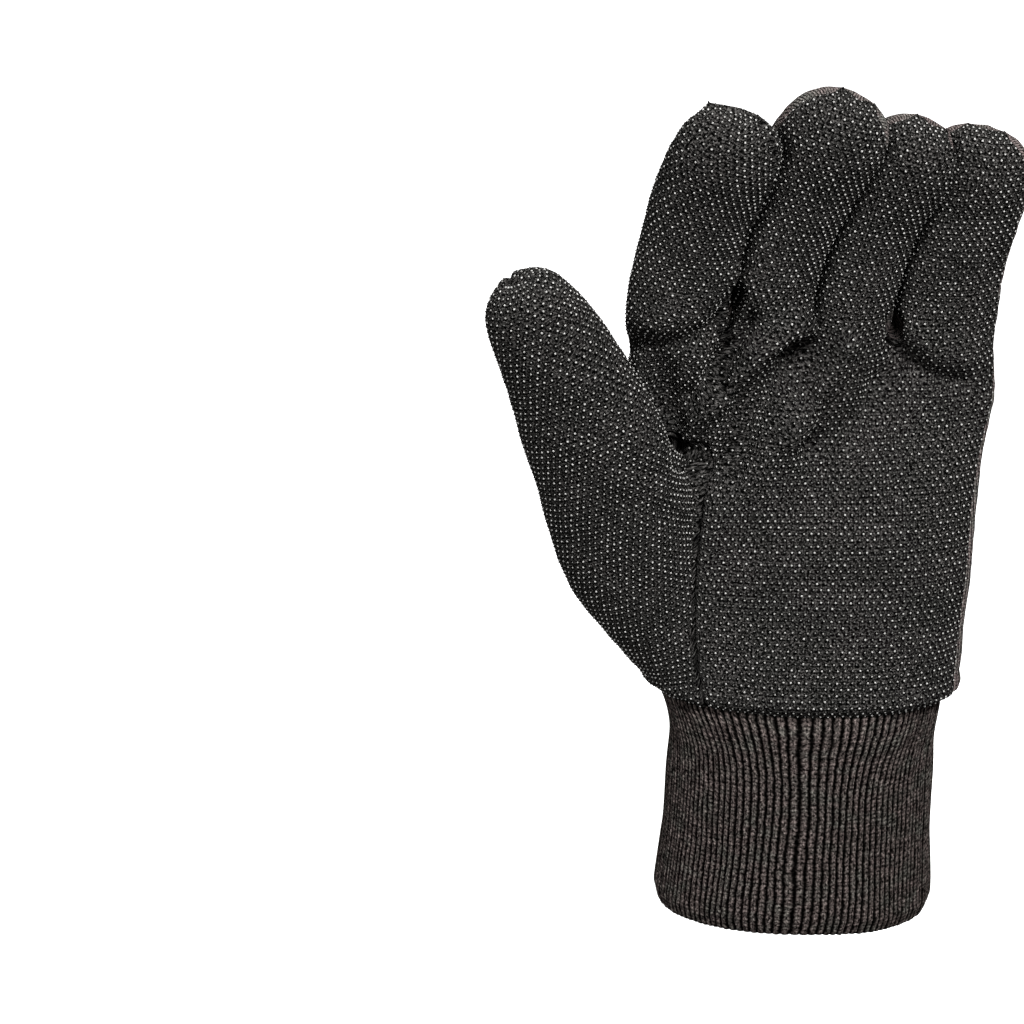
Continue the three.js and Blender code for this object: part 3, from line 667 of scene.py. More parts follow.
def relax_cloth(surface, panel):
    own = [f for f, p in enumerate(surface.panels) if p == panel]
    start, corners = cloth_corners(surface, own)
    shape = laid_flat(np.array([[surface.points[k] for k in surface.faces[f]] for f in own]))
    pulls = np.eye(len(start)) * RELAX_HOLD
    for a, b in CORNER_PAIRS:
        np.add.at(pulls, (corners[:, a], corners[:, a]), 1)
        np.add.at(pulls, (corners[:, b], corners[:, b]), 1)
        np.add.at(pulls, (corners[:, a], corners[:, b]), -1)
        np.add.at(pulls, (corners[:, b], corners[:, a]), -1)
    answer = np.linalg.inv(pulls)
    flat = start.copy()
    for _ in range(RELAX_STEPS):
        dot, cross = np.zeros(len(own)), np.zeros(len(own))
        for a, b in CORNER_PAIRS:
            old, new = shape[:, a] - shape[:, b], flat[corners[:, a]] - flat[corners[:, b]]
            dot += np.sum(old * new, 1)
            cross += old[:, 0] * new[:, 1] - old[:, 1] * new[:, 0]
        angle = np.arctan2(cross, dot)
        c, s = np.cos(angle), np.sin(angle)
        wanted = start * RELAX_HOLD
        for a, b in CORNER_PAIRS:
            old = shape[:, a] - shape[:, b]
            turned = np.stack((c * old[:, 0] - s * old[:, 1], s * old[:, 0] + c * old[:, 1]), 1)
            np.add.at(wanted, corners[:, a], turned)
            np.add.at(wanted, corners[:, b], -turned)
        flat = answer @ wanted
    for f, quad in zip(own, corners):
        surface.cloth[f] = tuple(map(tuple, flat[quad]))


# Meshes
def mesh_object(name, points, faces, cloth=None, materials=(), face_material=None, attributes=None):
    """An object from points in millimetres. cloth is each face corner's place on the flat cloth."""
    mesh = bpy.data.meshes.new(name)
    mesh.from_pydata((np.asarray(points) * MM).tolist(), [], [tuple(map(int, f)) for f in faces])
    if cloth is not None:
        layer = mesh.uv_layers.new(name="cloth")
        flat = np.asarray(cloth, dtype=float).reshape(-1, 2) / UV_SIZE + CLOTH_START
        layer.data.foreach_set("uv", flat.ravel())
    for material in materials:
        mesh.materials.append(material)
    if face_material is not None:
        mesh.polygons.foreach_set("material_index", np.asarray(face_material, dtype=np.int32))
    for key, values in (attributes or {}).items():
        layer = mesh.attributes.new(key, "FLOAT", "POINT")
        layer.data.foreach_set("value", np.asarray(values, dtype=np.float32))
    mesh.polygons.foreach_set("use_smooth", [True] * len(mesh.polygons))
    mesh.update()
    obj = bpy.data.objects.new(name, mesh)
    bpy.context.scene.collection.objects.link(obj)
    return obj


def applied(obj):
    """Makes the object's modifiers part of its mesh."""
    evaluated = obj.evaluated_get(bpy.context.evaluated_depsgraph_get())
    mesh = bpy.data.meshes.new_from_object(evaluated)
    old = obj.data
    obj.modifiers.clear()
    obj.data = mesh
    bpy.data.meshes.remove(old)
    mesh.name = obj.name
    return obj


SUBDIVISION = 3
# The surface in fine four-sided faces. panels, groups and cloth belong to the faces.
Cage = namedtuple("Cage", "points normals faces panels groups cloth")


def fine_cage(surface):
    """The surface smoothed and divided."""
    rough = mesh_object(
        "rough", surface.points, surface.faces, surface.cloth,
        [bpy.data.materials.new(name) for name in PANELS for _ in range(2)],
        [2 * panel + group for panel, group in zip(surface.panels, surface.groups)])
    modifier = rough.modifiers.new("smooth", "SUBSURF")
    modifier.levels = modifier.render_levels = SUBDIVISION
    mesh = applied(rough).data
    points = np.empty(len(mesh.vertices) * 3)
    mesh.vertices.foreach_get("co", points)
    normals = np.empty(len(mesh.vertices) * 3)
    mesh.vertices.foreach_get("normal", normals)
    faces = np.empty(len(mesh.loops), dtype=np.int32)
    mesh.loops.foreach_get("vertex_index", faces)
    panels = np.empty(len(mesh.polygons), dtype=np.int32)
    mesh.polygons.foreach_get("material_index", panels)
    cloth = np.empty(len(mesh.loops) * 2)
    mesh.uv_layers["cloth"].data.foreach_get("uv", cloth)
    bpy.data.objects.remove(rough)
    return Cage(
        points.reshape(-1, 3) / MM, normals.reshape(-1, 3), faces.reshape(-1, 4), panels // 2, panels % 2,
        (cloth.reshape(-1, 4, 2) - CLOTH_START) * UV_SIZE)


# Two faces are sewn together where their places on the cloth differ by more than this, in millimetres
SEAM_TOLERANCE = 0.5


def seam_edges(cage):
    """The edges where cloth is sewn to cloth, and the open edges."""
    sewn, open_edges = [], []
    seen = {}
    for f, corners in enumerate(cage.faces):
        for k in range(4):
            a, b = corners[k], corners[(k + 1) % 4]
            key = (a, b) if a < b else (b, a)
            seen.setdefault(key, []).append((f, k))
    for (a, b), users in seen.items():
        if len(users) == 1:
            open_edges.append((a, b))
            continue
        (f, k), (g, m) = users
        if cage.panels[f] != cage.panels[g]:
            sewn.append((a, b))
            continue
        if np.abs(cage.cloth[f][k] - cage.cloth[g][(m + 1) % 4]).max() > SEAM_TOLERANCE:
            sewn.append((a, b))
    return sewn, open_edges


def distances_to(points, edges):
    """How far each point lies from the ends of some edges, in millimetres."""
    ends = sorted({k for edge in edges for k in edge})
    tree = kdtree.KDTree(len(ends))
    for at, k in enumerate(ends):
        tree.insert(points[k], at)
    tree.balance()
    return np.array([tree.find(p)[2] for p in points])


# Folds of the worn cloth: the line each runs along, how wide it is, and how deep; a negative depth is a ridge
FOLDS = (
    (((-20, -18, 181), (-22, -22, 177), (-27, -26, 173), (-34, -27, 170), (-40, -26, 169), (-48, -20, 168)),
     2.6, 3.6),
    (((-22, -22, 186), (-31, -27, 179), (-41, -26, 176)), 4.5, -1.5),
    (((-16, -20, 175), (-20, -18, 168), (-23, -18, 162), (-27, -21, 157), (-31, -20, 152)), 2.3, 4.8),
    (((-3, -16, 173), (-11, -19, 168), (-17, -18, 161), (-23, -19, 155), (-29, -20, 149), (-32, -20, 142)),
     3.4, -5.0),
    (((-40, -22, 160), (-38, -18, 150), (-33, -19, 141), (-29, -24, 138)), 6.0, 5.0),
    (((-3, -13, 165), (-9, -19, 157), (-14, -20, 148), (-18, -20, 139), (-22, -23, 133)), 4.2, 6.4),
    (((10, -11, 167), (4, -11, 155), (-1, -13, 147), (-5, -18, 142)), 3.2, -4.4),
    (((20, -5, 155), (15, -10, 148), (8, -12, 142), (2, -13, 138)), 3.8, 4.2),
    (((22, -8, 172), (22, -2, 164), (25, -3, 160), (31, -4, 157), (37, -4, 155), (42, -3, 154)),
     2.3, 3.4),
    (((27, -5, 168), (35, -6, 163), (42, -4, 162)), 4.5, -2.2),
    (((-48, -36, 140), (-37, -32, 135), (-31, -24, 127)), 1.8, 0.8),
    (((-52, -38, 131), (-40, -36, 128), (-31, -26, 121)), 2.0, 0.8),
    (((-60, -36, 118), (-50, -36, 108)), 2.5, 0.7),
)
# Places where the cloth is drawn aside: centre, reach and shift
PULLS = (
    ((53, 5, 149), 8.5, (2.0, 0, 0)),
    ((26, 0, 163), 5, (0, 0, 2.4)),
    ((-60, -45, 194), 9, (-0.5, 0, -3.2)),
)
# The ear at the end of the index fingertip's seam: reach and shift
INDEX_EAR = (3.2, (-2.6, 0, 0.8))
# Places where two fingers press together: centre, reach and how far each side moves
SQUEEZES = (((26.3, 1, 164.5), 8, 0.8),)
SQUEEZE_BLEND = 1.5
# Folds lie on cloth that faces the front, and reach this far from their line
FOLD_FACING = (0.35, -0.25)
FOLD_REACH = (14, 8)
CAMERA_PITCH = 20
# Soft wrinkles over all, and the crumple on them
WRINKLE_SIZE = 15.0
WRINKLE_DEPTH = 0.6
CRUMPLE_SIZE = 5.0
CRUMPLE_DEPTH = 0.2
# Sewn seams: a sunk line between rolled, puckered shoulders
SEAM_DEPTH = 0.8
SEAM_WIDTH = 0.8
SHOULDER_RISE = 0.22
SHOULDER_PLACE = 2.2
SHOULDER_WIDTH = 1.3
PUCKER_SIZE = 2.6
PUCKER_SHARE = 0.8
# The edge at the cuff, tucked in under an uneven swell
TUCK_DEPTH = 1.6
TUCK_REACH = 3.0
SWELL_RISE = 0.7
SWELL_PLACE = 3.5
SWELL_WIDTH = 2.2
SWELL_SIZE = 5.0
SWELL_SHARE = 0.6
# Round the ends of the tips' seams the cloth lies still, and its wall is thinner
TIP_STILL = (1.5, 5)
TIP_WALL_REACH = 7.0
THINNEST_WALL = 0.05


def seen_from_front(points):
    """The points as the photograph shows them: across and up its picture."""
    look = math.radians(CAMERA_PITCH)
    points = np.asarray(points, dtype=float)
    return np.stack((points[:, 0], points[:, 2] * math.cos(look) + points[:, 1] * math.sin(look)), 1)


def line_distance(points, line):
    """How far each point lies from a line through several places."""
    line = np.array(line, dtype=float)
    best = np.full(len(points), np.inf)
    for start, end in zip(line, line[1:]):
        along = end - start
        share = np.clip((points - start) @ along / along.dot(along), 0, 1)
        best = np.minimum(best, np.linalg.norm(points - start - share[:, None] * along, axis=1))
    return best


def noise_at(points, size, seed):
    return np.array([noise.noise(Vector(p) / size + Vector((seed, seed, seed))) for p in points])


def hump(distance, width):
    """1 in the middle, falling softly to nothing over about twice the width."""
    return np.exp(-((distance / width) ** 2))


def worn_cloth(cage, sewn, open_edges, tips):
    """Moves the points into folds, wrinkles, sunk seams and a tucked cuff edge."""
    points, normals = cage.points.copy(), cage.normals
    for centre, reach, move in (*PULLS, (tips[0], *INDEX_EAR)):
        near = hump(np.linalg.norm(cage.points - centre, axis=1), reach)
        points += near[:, None] * np.array(move, dtype=float)
    for centre, reach, by in SQUEEZES:
        near = hump(np.linalg.norm(cage.points - centre, axis=1), reach)
        points[:, 0] += by * near * np.tanh((centre[0] - cage.points[:, 0]) / SQUEEZE_BLEND)
    front = smooth(*FOLD_FACING, normals[:, 1])
    shift = np.zeros(len(points))
    seen = seen_from_front(cage.points)
    for line, width, depth in FOLDS:
        near = smooth(*FOLD_REACH, line_distance(cage.points, line))
        beside = line_distance(seen, seen_from_front(line))
        shift -= depth * near * front * hump(beside, width)
    shift += WRINKLE_DEPTH * noise_at(points, WRINKLE_SIZE, 3.0)
    shift += CRUMPLE_DEPTH * noise_at(points, CRUMPLE_SIZE, 11.0)
    seam = distances_to(points, sewn)
    pucker = 1 + PUCKER_SHARE * noise_at(points, PUCKER_SIZE, 5.0)
    shift += SHOULDER_RISE * pucker * hump(seam - SHOULDER_PLACE, SHOULDER_WIDTH)
    shift -= SEAM_DEPTH * hump(seam, SEAM_WIDTH)
    cuff = distances_to(points, open_edges)
    shift -= TUCK_DEPTH * (1 - smooth(0, TUCK_REACH, cuff))
    uneven = 1 + SWELL_SHARE * noise_at(points, SWELL_SIZE, 8.0)
    shift += SWELL_RISE * hump(cuff - SWELL_PLACE, SWELL_WIDTH) * uneven
    for tip in tips:
        shift *= smooth(*TIP_STILL, np.linalg.norm(cage.points - tip, axis=1))
    return points + normals * shift[:, None]


# Painted shade in the hollows of the glove, where little light comes in: the cloth's colour is darkened
# there. Each point looks out along some lines of this reach, from just above the cloth. The range is what
# share shut off counts as open and as deep, and the shade is how dark the painted shade makes the cloth's
# colour there.
HOLLOW_REACH = 14
HOLLOW_LINES = 18
HOLLOW_CLEAR = 0.5
HOLLOW_RANGE = (0.18, 0.72)
PAINTED_HOLLOW_SHADE = 0.3


def painted_shade_from_hollows(cage, points):
    """Painted shade: how far each point lies in a hollow, 0 in the open, 1 deep between fingers."""
    tree = BVHTree.FromPolygons(points.tolist(), cage.faces.tolist())
    turn = math.pi * (3 - math.sqrt(5))
    up = np.sqrt((np.arange(HOLLOW_LINES) + 0.5) / HOLLOW_LINES)
    level = np.sqrt(1 - up * up)
    angle = np.arange(HOLLOW_LINES) * turn
    other_axis = np.where(np.abs(cage.normals[:, :1]) < 0.7, (1.0, 0, 0), (0, 1.0, 0))
    across = np.cross(cage.normals, other_axis)
    across /= np.linalg.norm(across, axis=1)[:, None]
    beside = np.cross(cage.normals, across)
    starts = (points + cage.normals * HOLLOW_CLEAR).tolist()
    shut = np.zeros(len(points))
    for k in range(HOLLOW_LINES):
        heading = (
            across * level[k] * math.cos(angle[k]) + beside * level[k] * math.sin(angle[k])
            + cage.normals * up[k]).tolist()
        for at, (start, way) in enumerate(zip(starts, heading)):
            far = tree.ray_cast(start, way, HOLLOW_REACH)[3]
            if far is not None:
                shut[at] += 1 - far / HOLLOW_REACH
    return smooth(*HOLLOW_RANGE, shut / HOLLOW_LINES)


def panel_object(name, cage, points, panel, material, tips, painted_shade_share):
    """One panel as a wall of cloth, thinner where it narrows to the ends of a tip's seam."""
    own = cage.panels == panel
    faces = cage.faces[own]
    used, inverse = np.unique(faces, return_inverse=True)
    # Each point carries its share of painted shade for the hollows
    obj = mesh_object(
        name, points[used], inverse.reshape(-1, 4), cage.cloth[own], [material],
        attributes={"painted_shade_share": painted_shade_share[used]})
    nearest = np.min([np.linalg.norm(points[used] - tip, axis=1) for tip in tips], axis=0)
    group = obj.vertex_groups.new(name="wall")
    for k, share in enumerate(smooth(0, TIP_WALL_REACH, nearest)):
        group.add([k], float(share), "REPLACE")
    wall = obj.modifiers.new("wall", "SOLIDIFY")
    wall.vertex_group = group.name
    wall.thickness_vertex_group = THINNEST_WALL
    wall.thickness = JERSEY_WALL * MM
    wall.offset = -1
    wall.use_even_offset = False
    return applied(obj)


# Node trees
ONE_INPUT = {"FRACT", "ABSOLUTE", "SINE", "FLOOR", "SQRT", "CEIL"}


def add_node(tree, kind, inputs=None, **settings):
    made = tree.nodes.new(kind)
    for key, value in settings.items():
        setattr(made, key, value)
    for socket, value in (inputs or {}).items():
        if isinstance(value, bpy.types.NodeSocket):
            tree.links.new(value, made.inputs[socket])
        else:
            made.inputs[socket].default_value = value
    return made


def maths(tree, operation, a, b=0.0, c=0.0):
    values = {0: a}
    if operation not in ONE_INPUT:
        values[1] = b
    if operation == "MULTIPLY_ADD":
        values[2] = c
    return add_node(tree, "ShaderNodeMath", values, operation=operation).outputs[0]


def vectors(tree, operation, *values):
    return add_node(tree, "ShaderNodeVectorMath", dict(enumerate(values)), operation=operation).outputs[0]


def ramp(tree, value, stops):
    made = add_node(tree, "ShaderNodeValToRGB", {0: value})
    elements = made.color_ramp.elements
    while len(elements) < len(stops):
        elements.new(0.5)
    for element, (place, colour) in zip(elements, stops):
        element.position = place
        element.color = (*colour, 1)
    return made.outputs[0]


def grey(value):
    return (value, value, value)


def multiplied(tree, colour, other):
    made = add_node(
        tree, "ShaderNodeMix", {0: 1.0, 6: colour, 7: other}, data_type="RGBA", blend_type="MULTIPLY")
    return made.outputs[2]


def new_material(name):
    material = bpy.data.materials.new(name)
    material.use_nodes = True
    tree = material.node_tree
    return material, tree, tree.nodes["Principled BSDF"]


def cloth_place(tree):
    """The place on the flat cloth in millimetres."""
    place = add_node(tree, "ShaderNodeUVMap", uv_map="cloth").outputs[0]
    return vectors(tree, "MULTIPLY", place, (UV_SIZE,) * 3)


def point_value(tree, name):
    return add_node(
        tree, "ShaderNodeAttribute", attribute_name=name, attribute_type="GEOMETRY").outputs["Fac"]


def noise_on(tree, vector, size, detail=2.0, roughness=0.5):
    return add_node(tree, "ShaderNodeTexNoise", {
        "Vector": vector, "Scale": 1 / size, "Detail": detail, "Roughness": roughness}).outputs[0]


def shaken(tree, place, size, reach):
    """A place on the cloth moved about by soft noise, so that no two loops are alike."""
    soft = add_node(
        tree, "ShaderNodeTexNoise", {"Vector": place, "Scale": 1 / size, "Detail": 2.0}).outputs[1]
    centred = vectors(tree, "SUBTRACT", soft, (0.5, 0.5, 0.5))
    return vectors(tree, "MULTIPLY_ADD", centred, (2 * reach,) * 3, place)


def drawn_out(tree, place, share):
    """A place that changes more slowly up the cloth, so that noise on it runs in upright streaks."""
    return vectors(tree, "MULTIPLY", place, (1.0, share, 1.0))


def across_and_up(tree, place):
    split = add_node(tree, "ShaderNodeSeparateXYZ", {0: place})
    return split.outputs[0], split.outputs[1]


def knit(tree, place, wale, course, slope=1.1, gap=1.0):
    """The height of plain knit: two slanting legs to a wale and a loop to a course, gap deep between."""
    u, v = across_and_up(tree, place)
    x = maths(tree, "DIVIDE", u, wale)
    ridge = maths(tree, "PINGPONG", x, 0.5)
    slanted = maths(tree, "MULTIPLY_ADD", ridge, -slope, maths(tree, "DIVIDE", v, course))
    legs = maths(tree, "ABSOLUTE", maths(tree, "SINE", maths(tree, "MULTIPLY", x, 2 * math.pi)))
    lobe = maths(tree, "MULTIPLY", maths(tree, "PINGPONG", slanted, 0.5), 2)
    lobe = maths(tree, "MULTIPLY_ADD", maths(tree, "POWER", lobe, 0.5), gap, 1 - gap)
    return maths(tree, "MULTIPLY", maths(tree, "POWER", legs, 0.6), lobe)


def with_fibres(tree, loops, loops_share, fibre, fibre_share):
    """The knit's height with the height of loose fibres added, higher or lower than the loops."""
    centred = maths(tree, "SUBTRACT", fibre, 0.5)
    return maths(tree, "MULTIPLY_ADD", centred, fibre_share, maths(tree, "MULTIPLY", loops, loops_share))


def finish_cloth_with_painted_shade(tree, shader, colour, height, bump_height, sheen):
    # Painted shade: the cloth's colour darkens in the hollows by the share worked out from the shape
    shade = ramp(tree, point_value(tree, "painted_shade_share"), ((0, grey(1)), (1, grey(PAINTED_HOLLOW_SHADE))))
    bump = add_node(
        tree, "ShaderNodeBump", {"Strength": 1.0, "Distance": bump_height * MM, "Height": height}).outputs[0]
    tree.links.new(multiplied(tree, colour, shade), shader.inputs["Base Color"])
    tree.links.new(bump, shader.inputs["Normal"])
    shader.inputs["Roughness"].default_value = 0.95
    shader.inputs["Specular IOR Level"].default_value = 0.0
    shader.inputs["Sheen Weight"].default_value = sheen
    shader.inputs["Sheen Roughness"].default_value = 0.5


def jersey_material():
    material, tree, shader = new_material("brown_jersey")
    place = cloth_place(tree)
    loops = knit(tree, shaken(tree, shaken(tree, place, 5.0, 0.35), 0.9, 0.16), WALE, COURSE, 1.3, 0.55)
    fibre = noise_on(tree, drawn_out(tree, place, 0.6), 0.5, 2.0, 0.7)
    height = with_fibres(tree, loops, 0.95, fibre, 2.0)
    melange = noise_on(tree, place, 10.0, 3.0, 0.6)
    heather = ramp(tree, melange, (
        (0.34, (0.078, 0.077, 0.07)), (0.46, (0.088, 0.079, 0.073)), (0.56, (0.1, 0.08, 0.077)),
        (0.68, (0.084, 0.076, 0.068))))
    shade = ramp(tree, height, (
        (0.15, grey(0.03)), (0.42, grey(0.45)), (0.66, grey(1.25)), (1.0, grey(2.5))))
    finish_cloth_with_painted_shade(tree, shader, multiplied(tree, heather, shade), height, 0.45, 0.02)
    return material


# A dent and painted shadow beside each dot: its shift as shares of the lattice, and its radius in millimetres
SHADOW_PIT_ACROSS = 0.12
SHADOW_PIT_DOWN = 0.16
SHADOW_PIT_RADIUS = 0.85


def dot_shadow_pits(tree, place):
    """How deep each place lies in the dent and painted shadow beside its nearest dot."""
    u, v = across_and_up(tree, place)
    row = maths(tree, "ADD", maths(tree, "DIVIDE", v, DOT_ROW), 0.5 + SHADOW_PIT_DOWN)
    odd = maths(tree, "MULTIPLY", maths(tree, "FLOOR", row), 0.5)
    column = maths(
        tree, "ADD", maths(tree, "DIVIDE", u, DOT_PITCH), maths(tree, "ADD", odd, 0.5 + SHADOW_PIT_ACROSS))
    squares = []
    for value, pitch in ((column, DOT_PITCH), (row, DOT_ROW)):
        off = maths(tree, "SUBTRACT", maths(tree, "FRACT", value), 0.5)
        squares.append(maths(tree, "POWER", maths(tree, "MULTIPLY", off, pitch), 2))
    far = maths(tree, "SQRT", maths(tree, "ADD", *squares))
    return maths(tree, "MAXIMUM", maths(tree, "SUBTRACT", 1.0, maths(tree, "DIVIDE", far, SHADOW_PIT_RADIUS)), 0.0)


def dotted_material():
    material, tree, shader = new_material("dotted_jersey")
    place = cloth_place(tree)
    shadow_pit = dot_shadow_pits(tree, shaken(tree, place, 1.2, 0.1))
    loops = knit(tree, shaken(tree, place, 0.8, 0.2), DOT_PITCH / 1.5, DOT_ROW / 2)
    fibre = noise_on(tree, shaken(tree, place, 0.8, 0.4), 0.6, 2.0, 0.65)
    height = with_fibres(tree, loops, 0.25, fibre, 3.0)
    # The dent is a bump and also darkens the colour through the shade ramp: a painted shadow beside each dot
    height = maths(tree, "ADD", maths(tree, "MULTIPLY_ADD", shadow_pit, -0.5, height), 0.5)
    patch = noise_on(tree, place, 12.0, 2.0)
    base = ramp(tree, patch, ((0.35, (0.0195, 0.019, 0.018)), (0.65, (0.0255, 0.024, 0.023))))
    shade = ramp(tree, height, ((0.2, grey(0.04)), (0.48, grey(0.45)), (0.72, grey(1.8)), (1.0, grey(4.6))))
    finish_cloth_with_painted_shade(tree, shader, multiplied(tree, base, shade), height, 0.5, 0.0)
    return material


# The width of one rib of the cuff on the flat cloth, in millimetres
RIB_ON_CLOTH = 1.6


def rib_material():
    material, tree, shader = new_material("rib_knit")
    place = cloth_place(tree)
    loops = knit(tree, shaken(tree, place, 1.0, 0.3), RIB_ON_CLOTH, 1.15, 1.6)
    u, _ = across_and_up(tree, shaken(tree, shaken(tree, place, 4.0, 0.35), 1.3, 0.3))
    # Painted shade: the cuff's colour darkens in the valleys between its ribs
    valley = maths(tree, "PINGPONG", maths(tree, "DIVIDE", u, RIB_ON_CLOTH), 0.5)
    gap = ramp(tree, valley, ((0.1, grey(0.03)), (0.24, grey(0.5)), (0.4, grey(1.35))))
    fibre = noise_on(tree, drawn_out(tree, place, 0.5), 0.55, 2.0, 0.65)
    height = maths(tree, "ADD", with_fibres(tree, loops, 0.5, fibre, 2.4), 0.25)
    melange = noise_on(tree, place, 7.0, 3.0, 0.6)
    heather = ramp(tree, melange, (
        (0.34, (0.068, 0.065, 0.058)), (0.48, (0.073, 0.062, 0.057)), (0.58, (0.079, 0.063, 0.059)),
        (0.68, (0.068, 0.061, 0.056))))
    shade = ramp(tree, height, ((0.1, grey(0.05)), (0.55, grey(0.9)), (1.0, grey(2.6))))
    finish_cloth_with_painted_shade(tree, shader, multiplied(tree, multiplied(tree, heather, shade), gap), height, 0.5, 0.0)
    return material


def dot_material():
    material, tree, shader = new_material("grip_dots")
    # The dots are dark glossy plastic: their light grey, which varies at random from dot to dot, is partly
    # painted glint
    colour = ramp(tree, point_value(tree, "shade"), (
        (0.0, (0.1, 0.1, 0.095)), (0.5, (0.25, 0.245, 0.23)), (1.0, (0.4, 0.395, 0.38))))
    tree.links.new(colour, shader.inputs["Base Color"])
    shader.inputs["Roughness"].default_value = 0.4
    shader.inputs["Specular IOR Level"].default_value = 0.5
    return material


# The grip dots, set in rows on the cloth's own map. Each is a low dome, cut from a ball below its middle.
DOT_SIDES = 6
DOT_RINGS = 4
DOT_CUT = -0.1
DOT_INPUTS = {
    "Pitch": DOT_PITCH, "Row": DOT_ROW, "Radius": DOT_RADIUS, "Height": DOT_HEIGHT, "Cloth Size": UV_SIZE,
    "Seam Margin": DOT_SEAM_MARGIN,
}


def named(tree, name, kind="FLOAT"):
    return add_node(tree, "GeometryNodeInputNamedAttribute", {"Name": name}, data_type=kind).outputs[0]


def stored(tree, geometry, name, value, domain="POINT", kind="FLOAT"):
    return add_node(
        tree, "GeometryNodeStoreNamedAttribute", {0: geometry, "Name": name, "Value": value},
        data_type=kind, domain=domain).outputs[0]


def dot_tree(material):
    tree = bpy.data.node_groups.new("grip_dots", "GeometryNodeTree")
    face = tree.interface
    face.new_socket("Geometry", in_out="INPUT", socket_type="NodeSocketGeometry")
    for name, default in DOT_INPUTS.items():
        face.new_socket(name, in_out="INPUT", socket_type="NodeSocketFloat").default_value = default
    face.new_socket("Seed", in_out="INPUT", socket_type="NodeSocketInt")
    face.new_socket("Geometry", in_out="OUTPUT", socket_type="NodeSocketGeometry")
    given = tree.nodes.new("NodeGroupInput").outputs
    points, on_map = dot_lattice(tree, given)
    kept = dots_on_cloth(tree, given, points, on_map)
    dots = grown_dots(tree, given, kept)
    real = add_node(tree, "GeometryNodeRealizeInstances", {0: dots}).outputs[0]
    smooth_faces = add_node(tree, "GeometryNodeSetShadeSmooth", {0: real}).outputs[0]
    painted = add_node(tree, "GeometryNodeSetMaterial", {0: smooth_faces, "Material": material}).outputs[0]
    tree.links.new(painted, tree.nodes.new("NodeGroupOutput").inputs[0])
    return tree


def dot_lattice(tree, given):
    """Points enough for the whole map, and each one's place on it: rows half a pitch apart in turn."""
    columns = maths(tree, "CEIL", maths(tree, "DIVIDE", given["Cloth Size"], given["Pitch"]))
    rows = maths(tree, "CEIL", maths(tree, "DIVIDE", given["Cloth Size"], given["Row"]))
    count = maths(tree, "MULTIPLY", columns, rows)
    points = add_node(tree, "GeometryNodePoints", {"Count": count}).outputs[0]
    index = add_node(tree, "GeometryNodeInputIndex").outputs[0]
    row = maths(tree, "FLOOR", maths(tree, "DIVIDE", index, columns))
    column = maths(tree, "SUBTRACT", index, maths(tree, "MULTIPLY", row, columns))
    half = maths(tree, "FRACT", maths(tree, "MULTIPLY", row, 0.5))
    stray = add_node(
        tree, "FunctionNodeRandomValue",
        {0: (-DOT_STRAY, -DOT_STRAY, 0), 1: (DOT_STRAY, DOT_STRAY, 0), "Seed": given["Seed"]},
        data_type="FLOAT_VECTOR").outputs[0]
    stray_across, stray_up = across_and_up(tree, stray)
    across = maths(tree, "ADD", maths(tree, "ADD", column, half), stray_across)
    places = [
        maths(tree, "DIVIDE", maths(tree, "MULTIPLY", place, given[pitch]), given["Cloth Size"])
        for place, pitch in ((across, "Pitch"), (maths(tree, "ADD", row, stray_up), "Row"))]
    return points, add_node(tree, "ShaderNodeCombineXYZ", dict(enumerate(places))).outputs[0]


def dots_on_cloth(tree, given, points, on_map):
    """The points put on the cloth, without those that lie off it or too near a sewn seam."""
    cloth = named(tree, "cloth", "FLOAT_VECTOR")

    def sample(value, kind="FLOAT_VECTOR"):
        return add_node(tree, "GeometryNodeSampleUVSurface", {
            "Mesh": given["Geometry"], "Value": value, "Source UV Map": cloth, "Sample UV": on_map,
        }, data_type=kind).outputs

    place = sample(add_node(tree, "GeometryNodeInputPosition").outputs[0])
    normal = sample(add_node(tree, "GeometryNodeInputNormal").outputs[0])
    moved = add_node(tree, "GeometryNodeSetPosition", {0: points, "Position": place[0]}).outputs[0]
    moved = stored(tree, moved, "out", normal[0], kind="FLOAT_VECTOR")
    # Each dot takes the cloth's share of painted shade
    moved = stored(tree, moved, "painted_shade_share", sample(named(tree, "painted_shade_share"), "FLOAT")[0])
    off_cloth = maths(tree, "SUBTRACT", 1.0, place["Is Valid"])
    near_seam = maths(tree, "LESS_THAN", sample(named(tree, "seam"), "FLOAT")[0], given["Seam Margin"])
    missing = maths(tree, "MAXIMUM", off_cloth, near_seam)
    return add_node(
        tree, "GeometryNodeDeleteGeometry", {0: moved, "Selection": missing}, domain="POINT").outputs[0]


